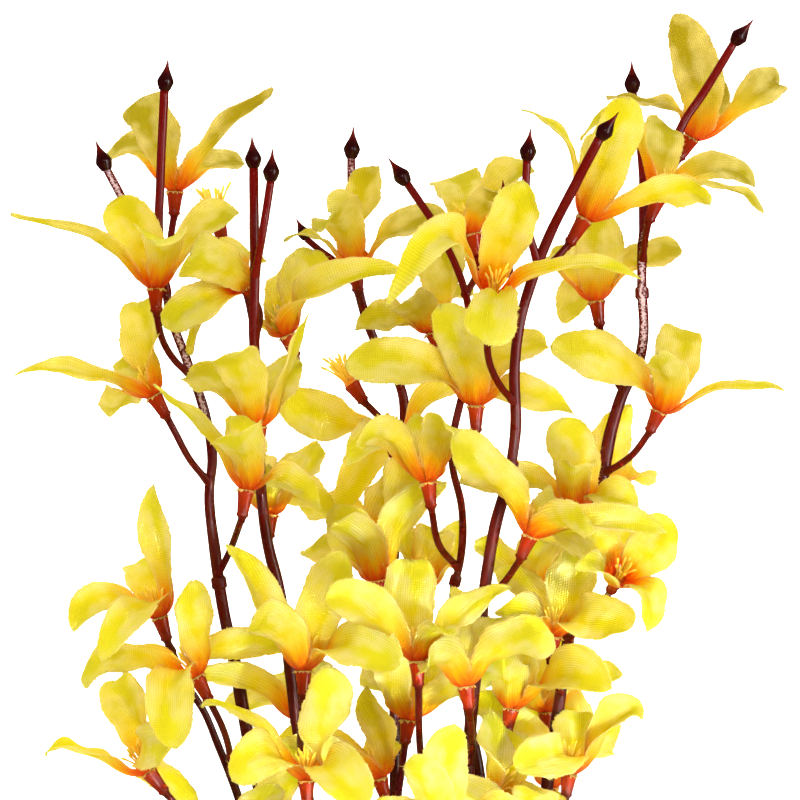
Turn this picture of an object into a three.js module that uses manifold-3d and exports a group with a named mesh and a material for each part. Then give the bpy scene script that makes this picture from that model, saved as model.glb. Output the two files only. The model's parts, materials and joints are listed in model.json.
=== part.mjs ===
// An artificial forsythia branch lying on a table: eight moulded red-brown stems with their
// pedicels, calyx tubes and buds, and a spray of woven yellow blooms with four petals each.
//
// Frame: millimetres, +Z up out of the table, +Y along the spray from its cut end to its twig
// tips, +X to the right. The origin is on the table under the straight foot of the main stem.
// Places along the spray are written on a flat layout sheet, [across, down] in sheet units,
// and heights above the table are millimetres.

import * as THREE from 'three';
import Module from 'manifold-3d';

const wasm = await Module();
wasm.setup();

// ---------------------------------------------------------------- driving dimensions

const SHEET_UNIT = 0.27; // mm on the table for one unit of the layout sheet
const SHEET_MIDDLE = 400; // across, over the origin
const SHEET_FOOT = 1500; // down, over the origin
const NODE_GAP = 0.3; // between two pieces that touch
const TABLE_CLEARANCE = 3; // lowest free petal tip

const STEM_SIDES = 6;
const PEDICEL_SIDES = 5;
const PEDICEL_RADIUS = 0.9;
const CALYX_TOP_RADIUS = 2.05;
const CALYX_FOOT_RADIUS = 1.25;
const COLLAR_RISE = 0.5; // how far a plug-in collar stands proud of its stem
const COLLAR_HALF_LENGTH = 1.3;
const COLLAR_LIP = 0.2; // its slope at either end, as a share of that half length
const TWIG_TURN = 0.35; // where between its last free spot and its stem a twig turns in
const PEDICEL_DROP = 1.3; // above 1, a pedicel keeps its calyx's height and drops late

const BUD_LENGTH = 8.6;
// [fraction of the bud's length from its foot, radius]
const BUD_PROFILE = [[0, 1.05], [0.08, 1.45], [0.3, 1.9], [0.52, 1.35], [0.7, 0.55], [1, 0.12]];
const SMALL_BUD = 0.75;

const PETAL_REACH = 36; // chord from the cup to a petal's tip
const PETAL_THICKNESS = 0.62;
const PETAL_WIDTH = 11.5;
const WIDE_PETAL_WIDTH = 13.2;
const NARROW_PETAL_WIDTH = 8.3;
const PETAL_BELLY = 0.62; // where along its length a petal is widest
const PETAL_TIP_SHARE = 0.4; // of its full width
const SQUARE_TIP_SHARE = 0.85;
const PETAL_FLARE = 1.08; // radians from the bloom's axis to a petal that the sheet leaves out
const LONE_TURN = 0.6; // radians round the axis, where a bloom's first such petal is counted from
const LEAST_DEPTH = 0.2; // of a petal's reach, that its lift counts for when it is spread flat
const ROOT_RADIUS = 2; // of the flat floor that a bloom's petals grow from
const ROOT_FILL = 0.85; // how much of that floor's rim the petals' roots take up
const SHOULDER = 0.75; // below 1, a petal widens fast above its root and makes a bowl
const PLUG_RADIUS = 1.9;
const PLUG_HEIGHT = 1.4;
const STAMEN_LENGTH = 7;
const STAMEN_RADIUS = 0.55;
const STAMEN_SPREAD = 0.45; // radians
const STAMEN_FOOT = 0.8; // height above the cup's floor
const STAMEN_RING = 1; // radius of the ring that single stamens stand in
const STAMENS = 6; // on a bare calyx; within petals they stand together as one tuft
const TUFT_RADIUS = 0.9;
const SISTER_ROOM = 0.04; // between petals of one bloom, which nearly touch at their roots

const HAIR = 1e-6; // two numbers nearer than this are alike
const NEAR_UPRIGHT = 0.1; // sine of the lean below which an axis takes its frame from +X

// ---------------------------------------------------------------- the layout sheet

// Each stem: what it grows from, its route from the tip down, [down, height] pairs, [down,
// radius] pairs, plug-in collars, side twigs and buds. A bud is the sheet place of its point.
const STEMS = {
  main_stem: {
    route: [[404, 1155], [404, 1220], [403, 1300], [401, 1400], [400, 1490], [400, 1700]],
    heights: [[1155, 22.5], [1220, 17], [1300, 11], [1400, 5], [1490, 2.6], [1700, 2.6]],
    girth: [[1155, 2.6], [1300, 3], [1490, 3.2], [1700, 3.2]],
    collars: [1240],
  },
  limb_3: {
    parent: 'main_stem',
    bud: [353, 131],
    route: [[351, 157], [352, 217], [358, 285], [364, 312], [377, 345], [392, 368], [403, 396],
      [404, 428], [397, 470], [394, 530], [394, 620], [395, 720], [396, 800], [398, 900],
      [401, 1000], [403, 1090], [404, 1160]],
    heights: [[157, 42], [217, 42], [312, 38], [380, 36], [480, 34], [600, 32], [800, 30],
      [900, 30], [1000, 29], [1090, 26.5], [1160, 22]],
    girth: [[157, 1.05], [345, 1.2], [600, 1.5], [800, 1.6], [1160, 2.2]],
    collars: [518],
    twigs: [{
      bud: [296, 218], scale: SMALL_BUD, radius: 0.85, height: 36,
      route: [[306, 238], [319, 249], [334, 260], [357, 288]],
    }],
  },
  limb_1: {
    parent: 'main_stem',
    bud: [95, 141],
    route: [[106, 169], [124, 203], [140, 240], [155, 268], [165, 290], [170, 315], [187, 362],
      [205, 415], [212, 460], [209, 490], [215, 555], [222, 605], [236, 672], [246, 730],
      [262, 800], [275, 850], [292, 905], [315, 970], [340, 1040], [364, 1118], [404, 1190]],
    heights: [[169, 44], [203, 45], [290, 48], [400, 50], [600, 48], [800, 45], [905, 40],
      [1040, 30], [1190, 19]],
    girth: [[169, 1.05], [290, 1.15], [500, 1.35], [620, 1.6], [900, 1.9], [1190, 2.2]],
    collars: [583],
    twigs: [{
      bud: [168, 56], scale: 1, radius: 1.15, height: 50,
      route: [[164, 90], [160, 180], [159, 240], [166, 294]],
    }],
  },
  limb_7: {
    parent: 'main_stem',
    bud: [759, 13],
    route: [[736, 41], [705, 92], [685, 122], [673, 153], [655, 190], [644, 232], [642, 285],
      [643, 340], [638, 364], [624, 390], [611, 430], [601, 480], [592, 508], [580, 530],
      [579, 580], [568, 640], [558, 712], [545, 800], [535, 860], [518, 930], [495, 1000],
      [465, 1080], [436, 1150], [403, 1226]],
    heights: [[41, 34], [92, 31], [153, 32], [190, 40], [232, 49], [300, 54], [400, 58],
      [580, 59], [712, 55], [800, 50], [930, 41], [1080, 28], [1226, 16.5]],
    girth: [[41, 1.05], [153, 1.2], [285, 1.25], [400, 1.5], [480, 1.85], [530, 1.5], [800, 1.65],
      [1226, 2.3]],
    collars: [293],
    twigs: [{
      bud: [635, 56], scale: 1, radius: 1.05, height: 12,
      route: [[636, 88], [640, 110], [646, 170], [643, 246]],
    }],
  },
  limb_5: {
    parent: 'limb_3',
    bud: [618, 113],
    route: [[596, 143], [573, 187], [548, 236], [529, 285], [518, 325], [513, 370], [514, 430],
      [508, 472], [494, 525], [485, 578], [478, 640], [473, 690], [469, 735], [467, 800],
      [466, 850], [458, 915], [446, 980], [428, 1050], [404, 1120]],
    heights: [[143, 108], [187, 105], [262, 99], [400, 96], [480, 94], [600, 88], [700, 82],
      [800, 75], [850, 70], [915, 61], [980, 50], [1050, 37], [1120, 24.5]],
    girth: [[143, 1.2], [262, 1.35], [400, 1.4], [600, 1.6], [800, 1.65], [1120, 2]],
    collars: [465],
    twigs: [{
      bud: [529, 131], scale: 1, radius: 1.05, height: 101,
      route: [[525, 164], [524, 200], [528, 240], [537, 266]],
    }, {
      bud: [502, 186], scale: SMALL_BUD, radius: 0.75, height: 86,
      route: [[504, 206], [508, 260], [513, 342]],
    }],
  },
  limb_2: {
    parent: 'limb_3',
    bud: [253.5, 143],
    route: [[255, 170], [255.5, 235], [256, 275], [255, 330], [259, 400], [262, 490], [268, 540],
      [281, 595], [290, 665], [298, 728], [308, 800], [322, 860], [340, 930], [361, 1000],
      [403, 1076]],
    heights: [[170, 82], [260, 80], [330, 78], [450, 76], [560, 71], [700, 64], [800, 59],
      [860, 55], [930, 48], [1000, 39], [1076, 27]],
    girth: [[170, 1.15], [275, 1.3], [490, 1.45], [800, 1.6], [1076, 1.9]],
    collars: [640],
    twigs: [{
      bud: [273.5, 158], scale: 1, radius: 1.05, height: 85,
      route: [[272, 183], [268, 210], [263, 240], [256, 278]],
    }],
  },
  limb_4: {
    parent: 'limb_7',
    bud: [388, 158],
    route: [[407, 184], [420, 203], [434, 224], [448, 250], [464, 290], [470, 345], [462, 392],
      [452, 440], [452, 465], [461, 505], [460, 560], [453, 590], [458, 640], [468, 710],
      [480, 775], [486, 830], [492, 890], [496, 940], [498, 992]],
    heights: [[184, 62], [224, 66], [300, 75], [390, 88], [430, 90], [560, 72], [640, 62],
      [800, 50], [890, 43], [940, 40], [992, 35.5]],
    girth: [[184, 1], [290, 0.95], [560, 1], [800, 1.35], [992, 1.5]],
    collars: [580],
    twigs: [],
  },
  limb_0: {
    parent: 'limb_1',
    route: [[170, 645], [186, 682], [205, 713], [218, 745], [232, 780], [250, 830], [286, 887]],
    heights: [[645, 62], [713, 57], [780, 53], [830, 48], [887, 41]],
    girth: [[645, 0.9], [745, 1], [887, 1.3]],
    twigs: [],
  },
};

// Each bloom: its stem, the floor of its cup, its calyx's foot, how far that calyx turns up
// out of the table's plane, the way its pedicel takes down to the stem, and its petal tips as
// [across, down, lift, form, bow]. Lift is +1 for a petal that rises, -1 for one that hangs
// below its cup and 0 for one level with it. Form is w wide, s wide with a square tip, n narrow,
// a arched over and r resting. Bow is how high its back bows, as a share of its length.
const BLOOMS = {
  a1: ['limb_1', [173, 191, 28], [172, 214], 0, [[170, 228], [166, 262], [164, 286]],
    [[138, 98, 0, 's'], [104, 150, -1, 'r', 0.25], [271, 91, 0.6, 'n'], [241, 156, -1]]],
  a2: ['limb_1', [156, 290, 62], [157, 313], 0, [[162, 338], [176, 362], [191, 376]],
    [[30, 202, 0, 'n'], [112, 205, 0.1, 'w', 0.15], [236, 214, -0.2, 'a'], [161, 235, 1, 's']]],
  a3: ['limb_1', [155, 397, 58], [167, 417], 0, [[174, 430], [190, 460], [210, 484]],
    [[19, 366, 0, 'n'], [134, 296, -0.6, 'w'], [104, 400, -1], [119, 364, -0.4, 'n']]],
  a4: ['limb_2', [217, 221, 36], [223, 246], 0, [[243, 285], [252, 318], [257, 352]], []],
  a5: ['limb_2', [243, 286, 70], [253, 295], 4, [[260, 312], [256, 342]],
    [[192, 256, 0.5, 's'], [168, 326, -0.2], [187, 352, -0.8, 'n'], [262, 256, -0.6]]],
  b1: ['limb_2', [260, 428, 86], [261, 450], 0, [[262, 466], [262, 492]],
    [[234, 355, 0.8, 's'], [308, 318, 0, 'n'], [275, 350, -1], [190, 372, -1]]],
  b2: ['limb_1', [248, 490, 93], [244, 516], 0, [[233, 545], [219, 575]],
    [[161, 390, 0, 'n'], [235, 416, -0.5], [243, 434, 0.9, 's'], [318, 500, -0.6]]],
  b3: ['limb_2', [270, 516, 58], [269, 538], 0, [[270, 552], [277, 578]],
    [[318, 447, 0], [332, 512, -1], [235, 455, -1], [270, 470, 1]]],
  c0: ['limb_2', [288, 337, 65], [296, 357], 0, [[292, 368], [280, 392], [260, 425]],
    [[262, 272, -1, 'n'], [312, 249, -0.4, 'w'], [395, 266, 1], [262, 322, -0.5, 'n']]],
  c1: ['limb_3', [356, 268, 50], [358, 292], 0, [[360, 302], [366, 318]],
    [[372, 167, -0.2], [336, 215, 0.9, 's', 0.15], [442, 210, 0], [284, 233, 0, 'n', 0.2]]],
  d1: ['limb_4', [473, 235, 60], [477, 256], 0, [[477, 270], [464, 296]],
    [[445, 178, -0.3, 's'], [532, 169, 0, 'a'], [510, 196, 0.8], [436, 226, 0.2, 'n']]],
  e: ['limb_5', [490, 300, 118], [486, 322], 3, [[487, 360], [500, 388], [513, 403]],
    [[518, 190, 1, 'w'], [394, 300, 1, 'a', 0.75], [486, 336, 1, 's'], [632, 272, 1, 'n', 0.12]]],
  d0: ['limb_4', [434, 334, 66], [440, 356], 0, [[446, 374], [461, 396]],
    [[357, 322, 0], [430, 238, -0.3, 'w'], [470, 288, -1], [404, 296, 0.6]]],
  g: ['limb_4', [475, 407, 92], [475, 432], 0, [[471, 446], [452, 462]],
    [[350, 366, 0, 'w'], [442, 308, 0, 'w'], [546, 338, -1], [570, 412, -1]]],
  f: ['limb_5', [582, 222, 90], [567, 246], 0, [[552, 262], [534, 274]],
    [[524, 118, 0, 'n', 0.3], [626, 104, 0.8, 'w'], [708, 203, 1, 'a'], [600, 130, -1]]],
  k1: ['limb_7', [657, 200, 62], [648, 222], 0, [[645, 238], [642, 262]],
    [[583, 136, 0.6, 'n', 0.6], [752, 184, 0, 'a', 0.3], [762, 206, 0.4, 'n', 0.15], [660, 120, -1]]],
  m0: ['limb_7', [694, 136, 20], [682, 156], 0, [[674, 168], [664, 174]],
    [[681, 12, 0, 'w'], [782, 83, -1, 'r', 0.45], [612, 99, 0, 'n', 0.15], [722, 70, -1, 'n']]],
  j: ['limb_7', [597, 302, 50], [600, 326], 0, [[603, 342], [611, 372], [624, 391]],
    [[600, 212, 0, 'w'], [680, 241, -1], [545, 250, -1], [568, 312, -1]]],
  k2: ['limb_7', [657, 413, 72], [648, 432], 0, [[632, 454], [618, 465], [604, 474]],
    [[554, 347, 1, 'w'], [682, 326, -1, 'w'], [655, 360, 1], [778, 391, 0, 'n', 0.15]]],
  n: ['limb_7', [604, 496, 37], [600, 518], 0, [[594, 534], [580, 556]],
    [[628, 406, 0], [638, 470, -1], [585, 460, -1], [560, 520, -1]]],
  p: ['limb_7', [577, 508, 76], [579, 530], 0, [[579, 546], [579, 572]],
    [[560, 420, 0, 'w'], [485, 435, -1], [570, 465, 1], [632, 500, 0.3]]],
  h: ['limb_5', [527, 535, 112], [518, 556], 0, [[506, 575], [484, 600]],
    [[457, 438, 1, 'w'], [582, 520, 1], [560, 500, -1]]],
  l: ['limb_7', [614, 577, 100], [608, 588], 5, [[598, 604], [584, 622], [569, 640]],
    [[580, 508, 0.6, 'a'], [664, 518, 0.5, 'w'], [646, 628, 0.4, 'n', 0.5], [578, 560, 1, 'n']]],
  s: ['limb_3', [393, 445, 48], [396, 462], 0, [[398, 474], [395, 498]],
    [[279, 402, 0, 'w'], [350, 460, 0.5], [335, 520, -1]]],
  u: ['limb_3', [352, 385, 38], [364, 402], 0, [[378, 416], [401, 442]], []],
  d2: ['limb_4', [428, 483, 90], [431, 507], 0, [[438, 542], [459, 568]],
    [[362, 442, 1, 'a'], [412, 417, 0], [447, 420, 1, 'w'], [395, 520, -1]]],
  v1: ['limb_3', [376, 540, 26], [383, 560], 0, [[388, 572], [394, 590]],
    [[425, 480, -1], [340, 560, 0]]],
  v2: ['limb_3', [422, 588, 38], [416, 610], 0, [[408, 628], [395, 652]],
    [[458, 520, 0], [388, 525, 0], [445, 560, -1]]],
  r: ['limb_3', [378, 582, 58], [382, 604], 0, [[386, 630], [392, 668], [395, 700]],
    [[335, 508, 0, 'w'], [302, 549, -1]]],
  q1: ['limb_2', [305, 668, 102], [305, 691], 0, [[303, 712], [301, 740], [304, 775]],
    [[232, 545, 1], [258, 614, 1, 'w'], [345, 552, 0, 'w'], [400, 660, 1, 'w']]],
  w: ['limb_5', [417, 657, 118], [418, 681], 0, [[420, 745], [430, 800], [465, 866]],
    [[325, 598, 1, 'w'], [412, 556, -0.4, 'w'], [503, 579, 0], [452, 622, 1, 'n']]],
  o1: ['limb_0', [161, 618, 64], [168, 640], 0, [[170, 646], [173, 652]],
    [[147, 488, 0], [128, 560, -1], [78, 628, 1, 'a', 0.35], [108, 650, 1]]],
  o2: ['limb_0', [199, 676, 78], [211, 699], 0, [[222, 722], [229, 745], [230, 776]],
    [[197, 582, 0.5], [83, 678, 0, 'a'], [180, 742, 1, 'w'], [290, 640, -1]]],
  o3: ['limb_0', [150, 772, 62], [166, 792], 0, [[184, 812], [212, 832], [258, 843]],
    [[112, 682, -1, 'w'], [45, 747, 0, 'n', 0.2], [176, 736, 1, 's'], [192, 800, -0.6, 'n']]],
  x: ['limb_2', [308, 775, 112], [309, 798], 0, [[311, 822], [318, 856], [333, 902]],
    [[208, 694, 0, 'n', 0.2], [335, 668, 0.4, 'w'], [366, 792, 1, 'w'], [240, 768, 1, 'w']]],
  y: ['limb_3', [408, 720, 70], [405, 742], 0, [[402, 768], [396, 812]],
    [[397, 640, 0], [362, 690, -1], [430, 650, -1]]],
  mm: ['limb_3', [380, 780, 55], [386, 800], 0, [[391, 818], [397, 852]],
    [[362, 690, 0], [400, 745, -1]]],
  z: ['limb_5', [448, 830, 120], [451, 853], 0, [[455, 880], [452, 942]],
    [[452, 720, 0, 'w'], [412, 745, 1], [530, 800, 0.6], [366, 806, -0.3]]],
  aa: ['limb_5', [465, 683, 106], [468, 705], 0, [[470, 722], [468, 762]],
    [[543, 630, 1, 'w'], [421, 665, 1], [455, 610, 0]]],
  bb: ['limb_4', [510, 708, 76], [506, 731], 0, [[504, 760], [498, 786], [487, 822]],
    [[603, 680, 1, 'w'], [500, 655, 0.4], [534, 640, -1]]],
  cc: ['limb_7', [547, 715, 43], [549, 737], 0, [[550, 748], [549, 776]],
    [[620, 672, 0], [562, 640, -0.3], [500, 690, 0], [590, 760, -0.5]]],
  dd: ['limb_7', [552, 636, 80], [549, 658], 0, [[552, 672], [562, 694]],
    [[619, 600, 0.6, 'w'], [575, 548, -0.6, 'w'], [530, 556, -0.3], [496, 612, 0]]],
  ee: ['limb_7', [538, 598, 46], [540, 620], 0, [[546, 640], [565, 666]],
    [[476, 545, 0], [590, 540, -1], [545, 535, 1]]],
  ff: ['limb_7', [568, 773, 72], [565, 795], 0, [[560, 814], [540, 848]],
    [[643, 712, 0, 'a', 0.35], [518, 764, 1, 'w'], [575, 712, -1]]],
  gg: ['limb_7', [552, 792, 34], [552, 814], 0, [[548, 834], [534, 868]],
    [[528, 710, 0], [600, 740, -1]]],
  hh: ['limb_7', [530, 850, 92], [526, 873], 0, [[522, 894], [513, 946]],
    [[540, 778, 1, 'w']]],
  ii: ['limb_5', [489, 794, 91], [481, 813], 0, [[478, 832], [464, 872]],
    [[530, 738, 0.2], [478, 712, 0.4], [560, 812, 0.4], [430, 850, 0.3]]],
  ll: ['limb_2', [298, 722, 46], [301, 744], 0, [[304, 756], [307, 792]],
    [[230, 705, -1], [278, 672, -1]]],
  n1: ['limb_1', [246, 862, 62], [256, 884], 0, [[266, 898], [294, 912]], []],
  n2: ['limb_2', [352, 888, 84], [350, 911], 0, [[348, 928], [352, 968]], []],
  n3: ['limb_5', [430, 930, 78], [434, 952], 0, [[440, 968], [438, 1012]],
    [[345, 880, 0], [400, 830, 0.5], [420, 1000, 0.6], [360, 960, -0.5]]],
  n4: ['limb_7', [556, 916, 66], [546, 936], 0, [[534, 948], [510, 958]], []],
};
const BARE_BLOOMS = ['a4', 'u']; // their petals have come off and only the stamens are left
const PETALS_PER_BLOOM = 4;

// What a petal's form changes: its width, its twist to lie flat to the table, its tip and bow
const FORM_WIDTH = { w: WIDE_PETAL_WIDTH, s: WIDE_PETAL_WIDTH, n: NARROW_PETAL_WIDTH };
const FORM_FACING = { w: 0.75, s: 0.75, n: 0.2 };
const FACING = 0.5;
const FORM_TIP_SHARE = { s: SQUARE_TIP_SHARE };
const FORM_BOW = { a: 0.26 };
const BOW = 0.1;

// How a petal runs from its root to its tip
const ROOT_LEAN = 0.5; // outward share of the way it leaves its root
const ROOT_RUN = 0.25; // share of its length that a petal with no bow runs on that way
const BOWED_RUN = 0.7; // how much further it runs for its bow
const BACK_PLACE = 0.68; // where along its chord its back bows
const TWIST_END = 0.55; // where along its length it has done its twist
const ROOT_HOLD = 0.35; // how much its root still steers its tip's face
const SHOWN_BACK = -0.1; // lean of its face below which it shows its back
const ROOT_HOLLOW = 0.34; // depth across it at its root, as a share of its half width
const TIP_HOLLOW = 0.14;

// The ways a petal may give when it would cross another piece: [swing in degrees, lift in mm]
const LIFT_STEPS = [0, 4, -4, 8, -8, 12, -12, 16, -16, 20, -20, 24, -24];
const SWING_STEPS = [0, 8, -8, 16, -16, 24, -24];
const GIVES = SWING_STEPS.flatMap((swing) => LIFT_STEPS.map((lift) => [swing, lift]));

// ---------------------------------------------------------------- small helpers

const UP = new THREE.Vector3(0, 0, 1);

const place = ([across, down], height) => new THREE.Vector3(
  (across - SHEET_MIDDLE) * SHEET_UNIT,
  (SHEET_FOOT - down) * SHEET_UNIT,
  height,
);

// Straight-line reading of a list of [position, value] pairs
function read(pairs, position) {
  const after = pairs.findIndex(([at]) => at >= position);
  if (after === 0) return pairs[0][1];
  if (after < 0) return pairs.at(-1)[1];
  const [low, lowValue] = pairs[after - 1];
  const [high, highValue] = pairs[after];
  return THREE.MathUtils.mapLinear(position, low, high, lowValue, highValue);
}

// A closed solid from points and the triangles between them
function solidOf(points, triangles) {
  const mesh = new wasm.Mesh({
    numProp: 3,
    vertProperties: new Float32Array(points.flatMap((point) => point.toArray())),
    triVerts: new Uint32Array(triangles.flat()),
  });
  return new wasm.Manifold(mesh);
}

// A many-sided tube through rings of { at, radius }, closed at both ends
function sweep(rings, sides) {
  const points = [];
  const triangles = [];
  const ahead = rings.map((ring, i) => {
    const from = rings[Math.max(i - 1, 0)].at;
    const to = rings[Math.min(i + 1, rings.length - 1)].at;
    return to.clone().sub(from).normalize();
  });
  let across = new THREE.Vector3().crossVectors(ahead[0], UP);
  if (across.length() < NEAR_UPRIGHT) across = new THREE.Vector3(1, 0, 0);
  rings.forEach((ring, i) => {
    across = across.addScaledVector(ahead[i], -across.dot(ahead[i])).normalize();
    const second = new THREE.Vector3().crossVectors(ahead[i], across);
    for (let side = 0; side < sides; side += 1) {
      const turn = (side / sides) * 2 * Math.PI;
      points.push(ring.at.clone()
        .addScaledVector(across, ring.radius * Math.cos(turn))
        .addScaledVector(second, ring.radius * Math.sin(turn)));
    }
    across = across.clone();
  });
  for (let i = 0; i + 1 < rings.length; i += 1) {
    for (let side = 0; side < sides; side += 1) {
      const next = (side + 1) % sides;
      const [a, b] = [i * sides + side, i * sides + next];
      triangles.push([a, b, b + sides], [a, b + sides, a + sides]);
    }
  }
  const last = (rings.length - 1) * sides;
  for (let side = 1; side + 1 < sides; side += 1) {
    triangles.push([0, side + 1, side], [last, last + side, last + side + 1]);
  }
  return solidOf(points, triangles);
}

const join = (solids) => solids.reduce((whole, solid) => whole.add(solid));

// A table with every value made anew
const mapped = (table, make) => Object.fromEntries(
  Object.entries(table).map(([name, value]) => [name, make(value, name)]),
);

// The nearest point of a polyline to a point, seen from above
function nearestOn(path, target) {
  let best = null;
  for (let i = 0; i + 1 < path.length; i += 1) {
    const line = path[i + 1].clone().sub(path[i]);
    const flat = line.x ** 2 + line.y ** 2;
    const gap = target.clone().sub(path[i]);
    const share = THREE.MathUtils.clamp((gap.x * line.x + gap.y * line.y) / flat, 0, 1);
    const point = path[i].clone().addScaledVector(line, share);
    const distance = Math.hypot(point.x - target.x, point.y - target.y);
    if (!best || distance < best.distance) best = { point, distance };
  }
  return best.point;
}

// ---------------------------------------------------------------- stems

// A stem's rings from its tip down, with its plug-in collars
function stemRings(stem, extra = 0) {
  const rings = stem.route.map(([across, down]) => ({
    at: place([across, down], read(stem.heights, down)),
    radius: read(stem.girth, down) + extra,
  }));
  for (const down of stem.collars ?? []) {
    const target = -(down - SHEET_FOOT) * SHEET_UNIT;
    const i = rings.findIndex((ring) => ring.at.y < target);
    const [upper, lower] = [rings[i - 1], rings[i]];
    const share = (upper.at.y - target) / (upper.at.y - lower.at.y);
    const middle = upper.at.clone().lerp(lower.at, share);
    const along = lower.at.clone().sub(upper.at).normalize();
    const radius = THREE.MathUtils.lerp(upper.radius, lower.radius, share);
    const foot = 1 + COLLAR_LIP;
    const collar = [[-foot, 0], [-1, 1], [1, 1], [foot, 0]].map(([step, rise]) => ({
      at: middle.clone().addScaledVector(along, step * COLLAR_HALF_LENGTH),
      radius: radius + rise * COLLAR_RISE,
    }));
    rings.splice(i, 0, ...collar);
  }
  return rings;
}

function bud(foot, point, scale) {
  const direction = point.clone().sub(foot).normalize();
  const rings = BUD_PROFILE.map(([share, radius]) => ({
    at: foot.clone().addScaledVector(direction, share * BUD_LENGTH * scale),
    radius: radius * scale,
  }));
  return sweep(rings, STEM_SIDES);
}

// A side twig runs from its bud down to its stem, at its own height until it turns in
function twig({ route, height, radius, bud: point, scale }, path) {
  const end = nearestOn(path, place(route.at(-1), 0));
  const free = route.slice(0, -1).map((spot) => place(spot, height));
  const turn = free.at(-1).clone().lerp(end, TWIG_TURN);
  turn.z = (free.at(-1).z * 2 + end.z) / 3;
  const rings = [...free, turn, end].map((at) => ({ at, radius }));
  return [sweep(rings, PEDICEL_SIDES), bud(free[0], place(point, height), scale)];
}

// The bloom's frame: the floor of its cup, its axis and its calyx's foot
function cupFrame([, cup, foot, rise]) {
  const floor = place(cup, cup[2]);
  const calyxFoot = place(foot, cup[2] - rise);
  const axis = floor.clone().sub(calyxFoot).normalize();
  return { floor, calyxFoot, axis };
}

// Calyx tube and pedicel in one piece, down into the stem
function pedicel(bloom, path) {
  const { floor, calyxFoot } = cupFrame(bloom);
  const way = bloom[4];
  const end = nearestOn(path, place(way.at(-1), 0));
  const spots = [calyxFoot, ...way.slice(0, -1).map((spot) => place(spot, 0)), end];
  const steps = spots.map((spot, i) => {
    const before = spots[Math.max(i - 1, 0)];
    return Math.hypot(spot.x - before.x, spot.y - before.y);
  });
  const whole = steps.reduce((sum, step) => sum + step, 0);
  let gone = 0;
  spots.forEach((spot, i) => {
    gone += steps[i];
    if (i && i + 1 < spots.length) {
      const share = gone / whole;
      spot.z = THREE.MathUtils.lerp(calyxFoot.z, end.z, share ** PEDICEL_DROP);
    }
  });
  const rings = [
    { at: floor, radius: CALYX_TOP_RADIUS },
    { at: calyxFoot, radius: CALYX_FOOT_RADIUS },
    ...spots.slice(1).map((at) => ({ at, radius: PEDICEL_RADIUS })),
  ];
  return sweep(rings, PEDICEL_SIDES);
}

const stemPath = (name) => STEMS[name].route
  .map(([across, down]) => place([across, down], read(STEMS[name].heights, down)));

function buildStem(name) {
  const stem = STEMS[name];
  const path = stemPath(name);
  if (stem.parent) path[path.length - 1] = nearestOn(stemPath(stem.parent), path.at(-1));
  const rings = stemRings(stem);
  rings.at(-1).at = path.at(-1);
  let whole = sweep(rings, STEM_SIDES);
  if (stem.bud) whole = whole.add(bud(path[0], place(stem.bud, path[0].z), 1));
  for (const side of stem.twigs ?? []) whole = join([whole, ...twig(side, path)]);
  for (const bloom of Object.values(BLOOMS)) {
    if (bloom[0] === name) whole = whole.add(pedicel(bloom, path));
  }
  if (!stem.parent) return whole;
  // the socket in which it is plugged leaves it just clear of its parent
  return whole.subtract(sweep(stemRings(STEMS[stem.parent], NODE_GAP), STEM_SIDES));
}

// ---------------------------------------------------------------- blooms

// A calyx's plug with single stamens, where the petals have come off
function bareStamens({ floor, axis }) {
  const [first, second] = crossAxes(axis);
  const at = (height, outward = 0, turn = 0) => floor.clone()
    .addScaledVector(axis, height)
    .addScaledVector(first, outward * Math.cos(turn))
    .addScaledVector(second, outward * Math.sin(turn));
  const ends = [NODE_GAP, PLUG_HEIGHT].map((height) => ({ at: at(height), radius: PLUG_RADIUS }));
  const reach = STAMEN_RING + STAMEN_LENGTH * Math.tan(STAMEN_SPREAD);
  const stamens = Array.from({ length: STAMENS }, (_, i) => {
    const turn = (i / STAMENS) * 2 * Math.PI;
    const foot = { at: at(STAMEN_FOOT, STAMEN_RING, turn), radius: STAMEN_RADIUS };
    const tip = { at: at(STAMEN_LENGTH, reach, turn), radius: STAMEN_RADIUS / 2 };
    return sweep([foot, tip], 3);
  });
  return join([sweep(ends, PEDICEL_SIDES), ...stamens]);
}

function crossAxes(axis) {
  const first = new THREE.Vector3().crossVectors(axis, UP);
  if (first.length() < NEAR_UPRIGHT) first.set(1, 0, 0);
  first.normalize();
  return [first, new THREE.Vector3().crossVectors(axis, first)];
}

function turnOf(tip, floor, first, second) {
  const out = tip.clone().sub(floor);
  return (Math.atan2(out.dot(second), out.dot(first)) + 2 * Math.PI) % (2 * Math.PI);
}

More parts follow.
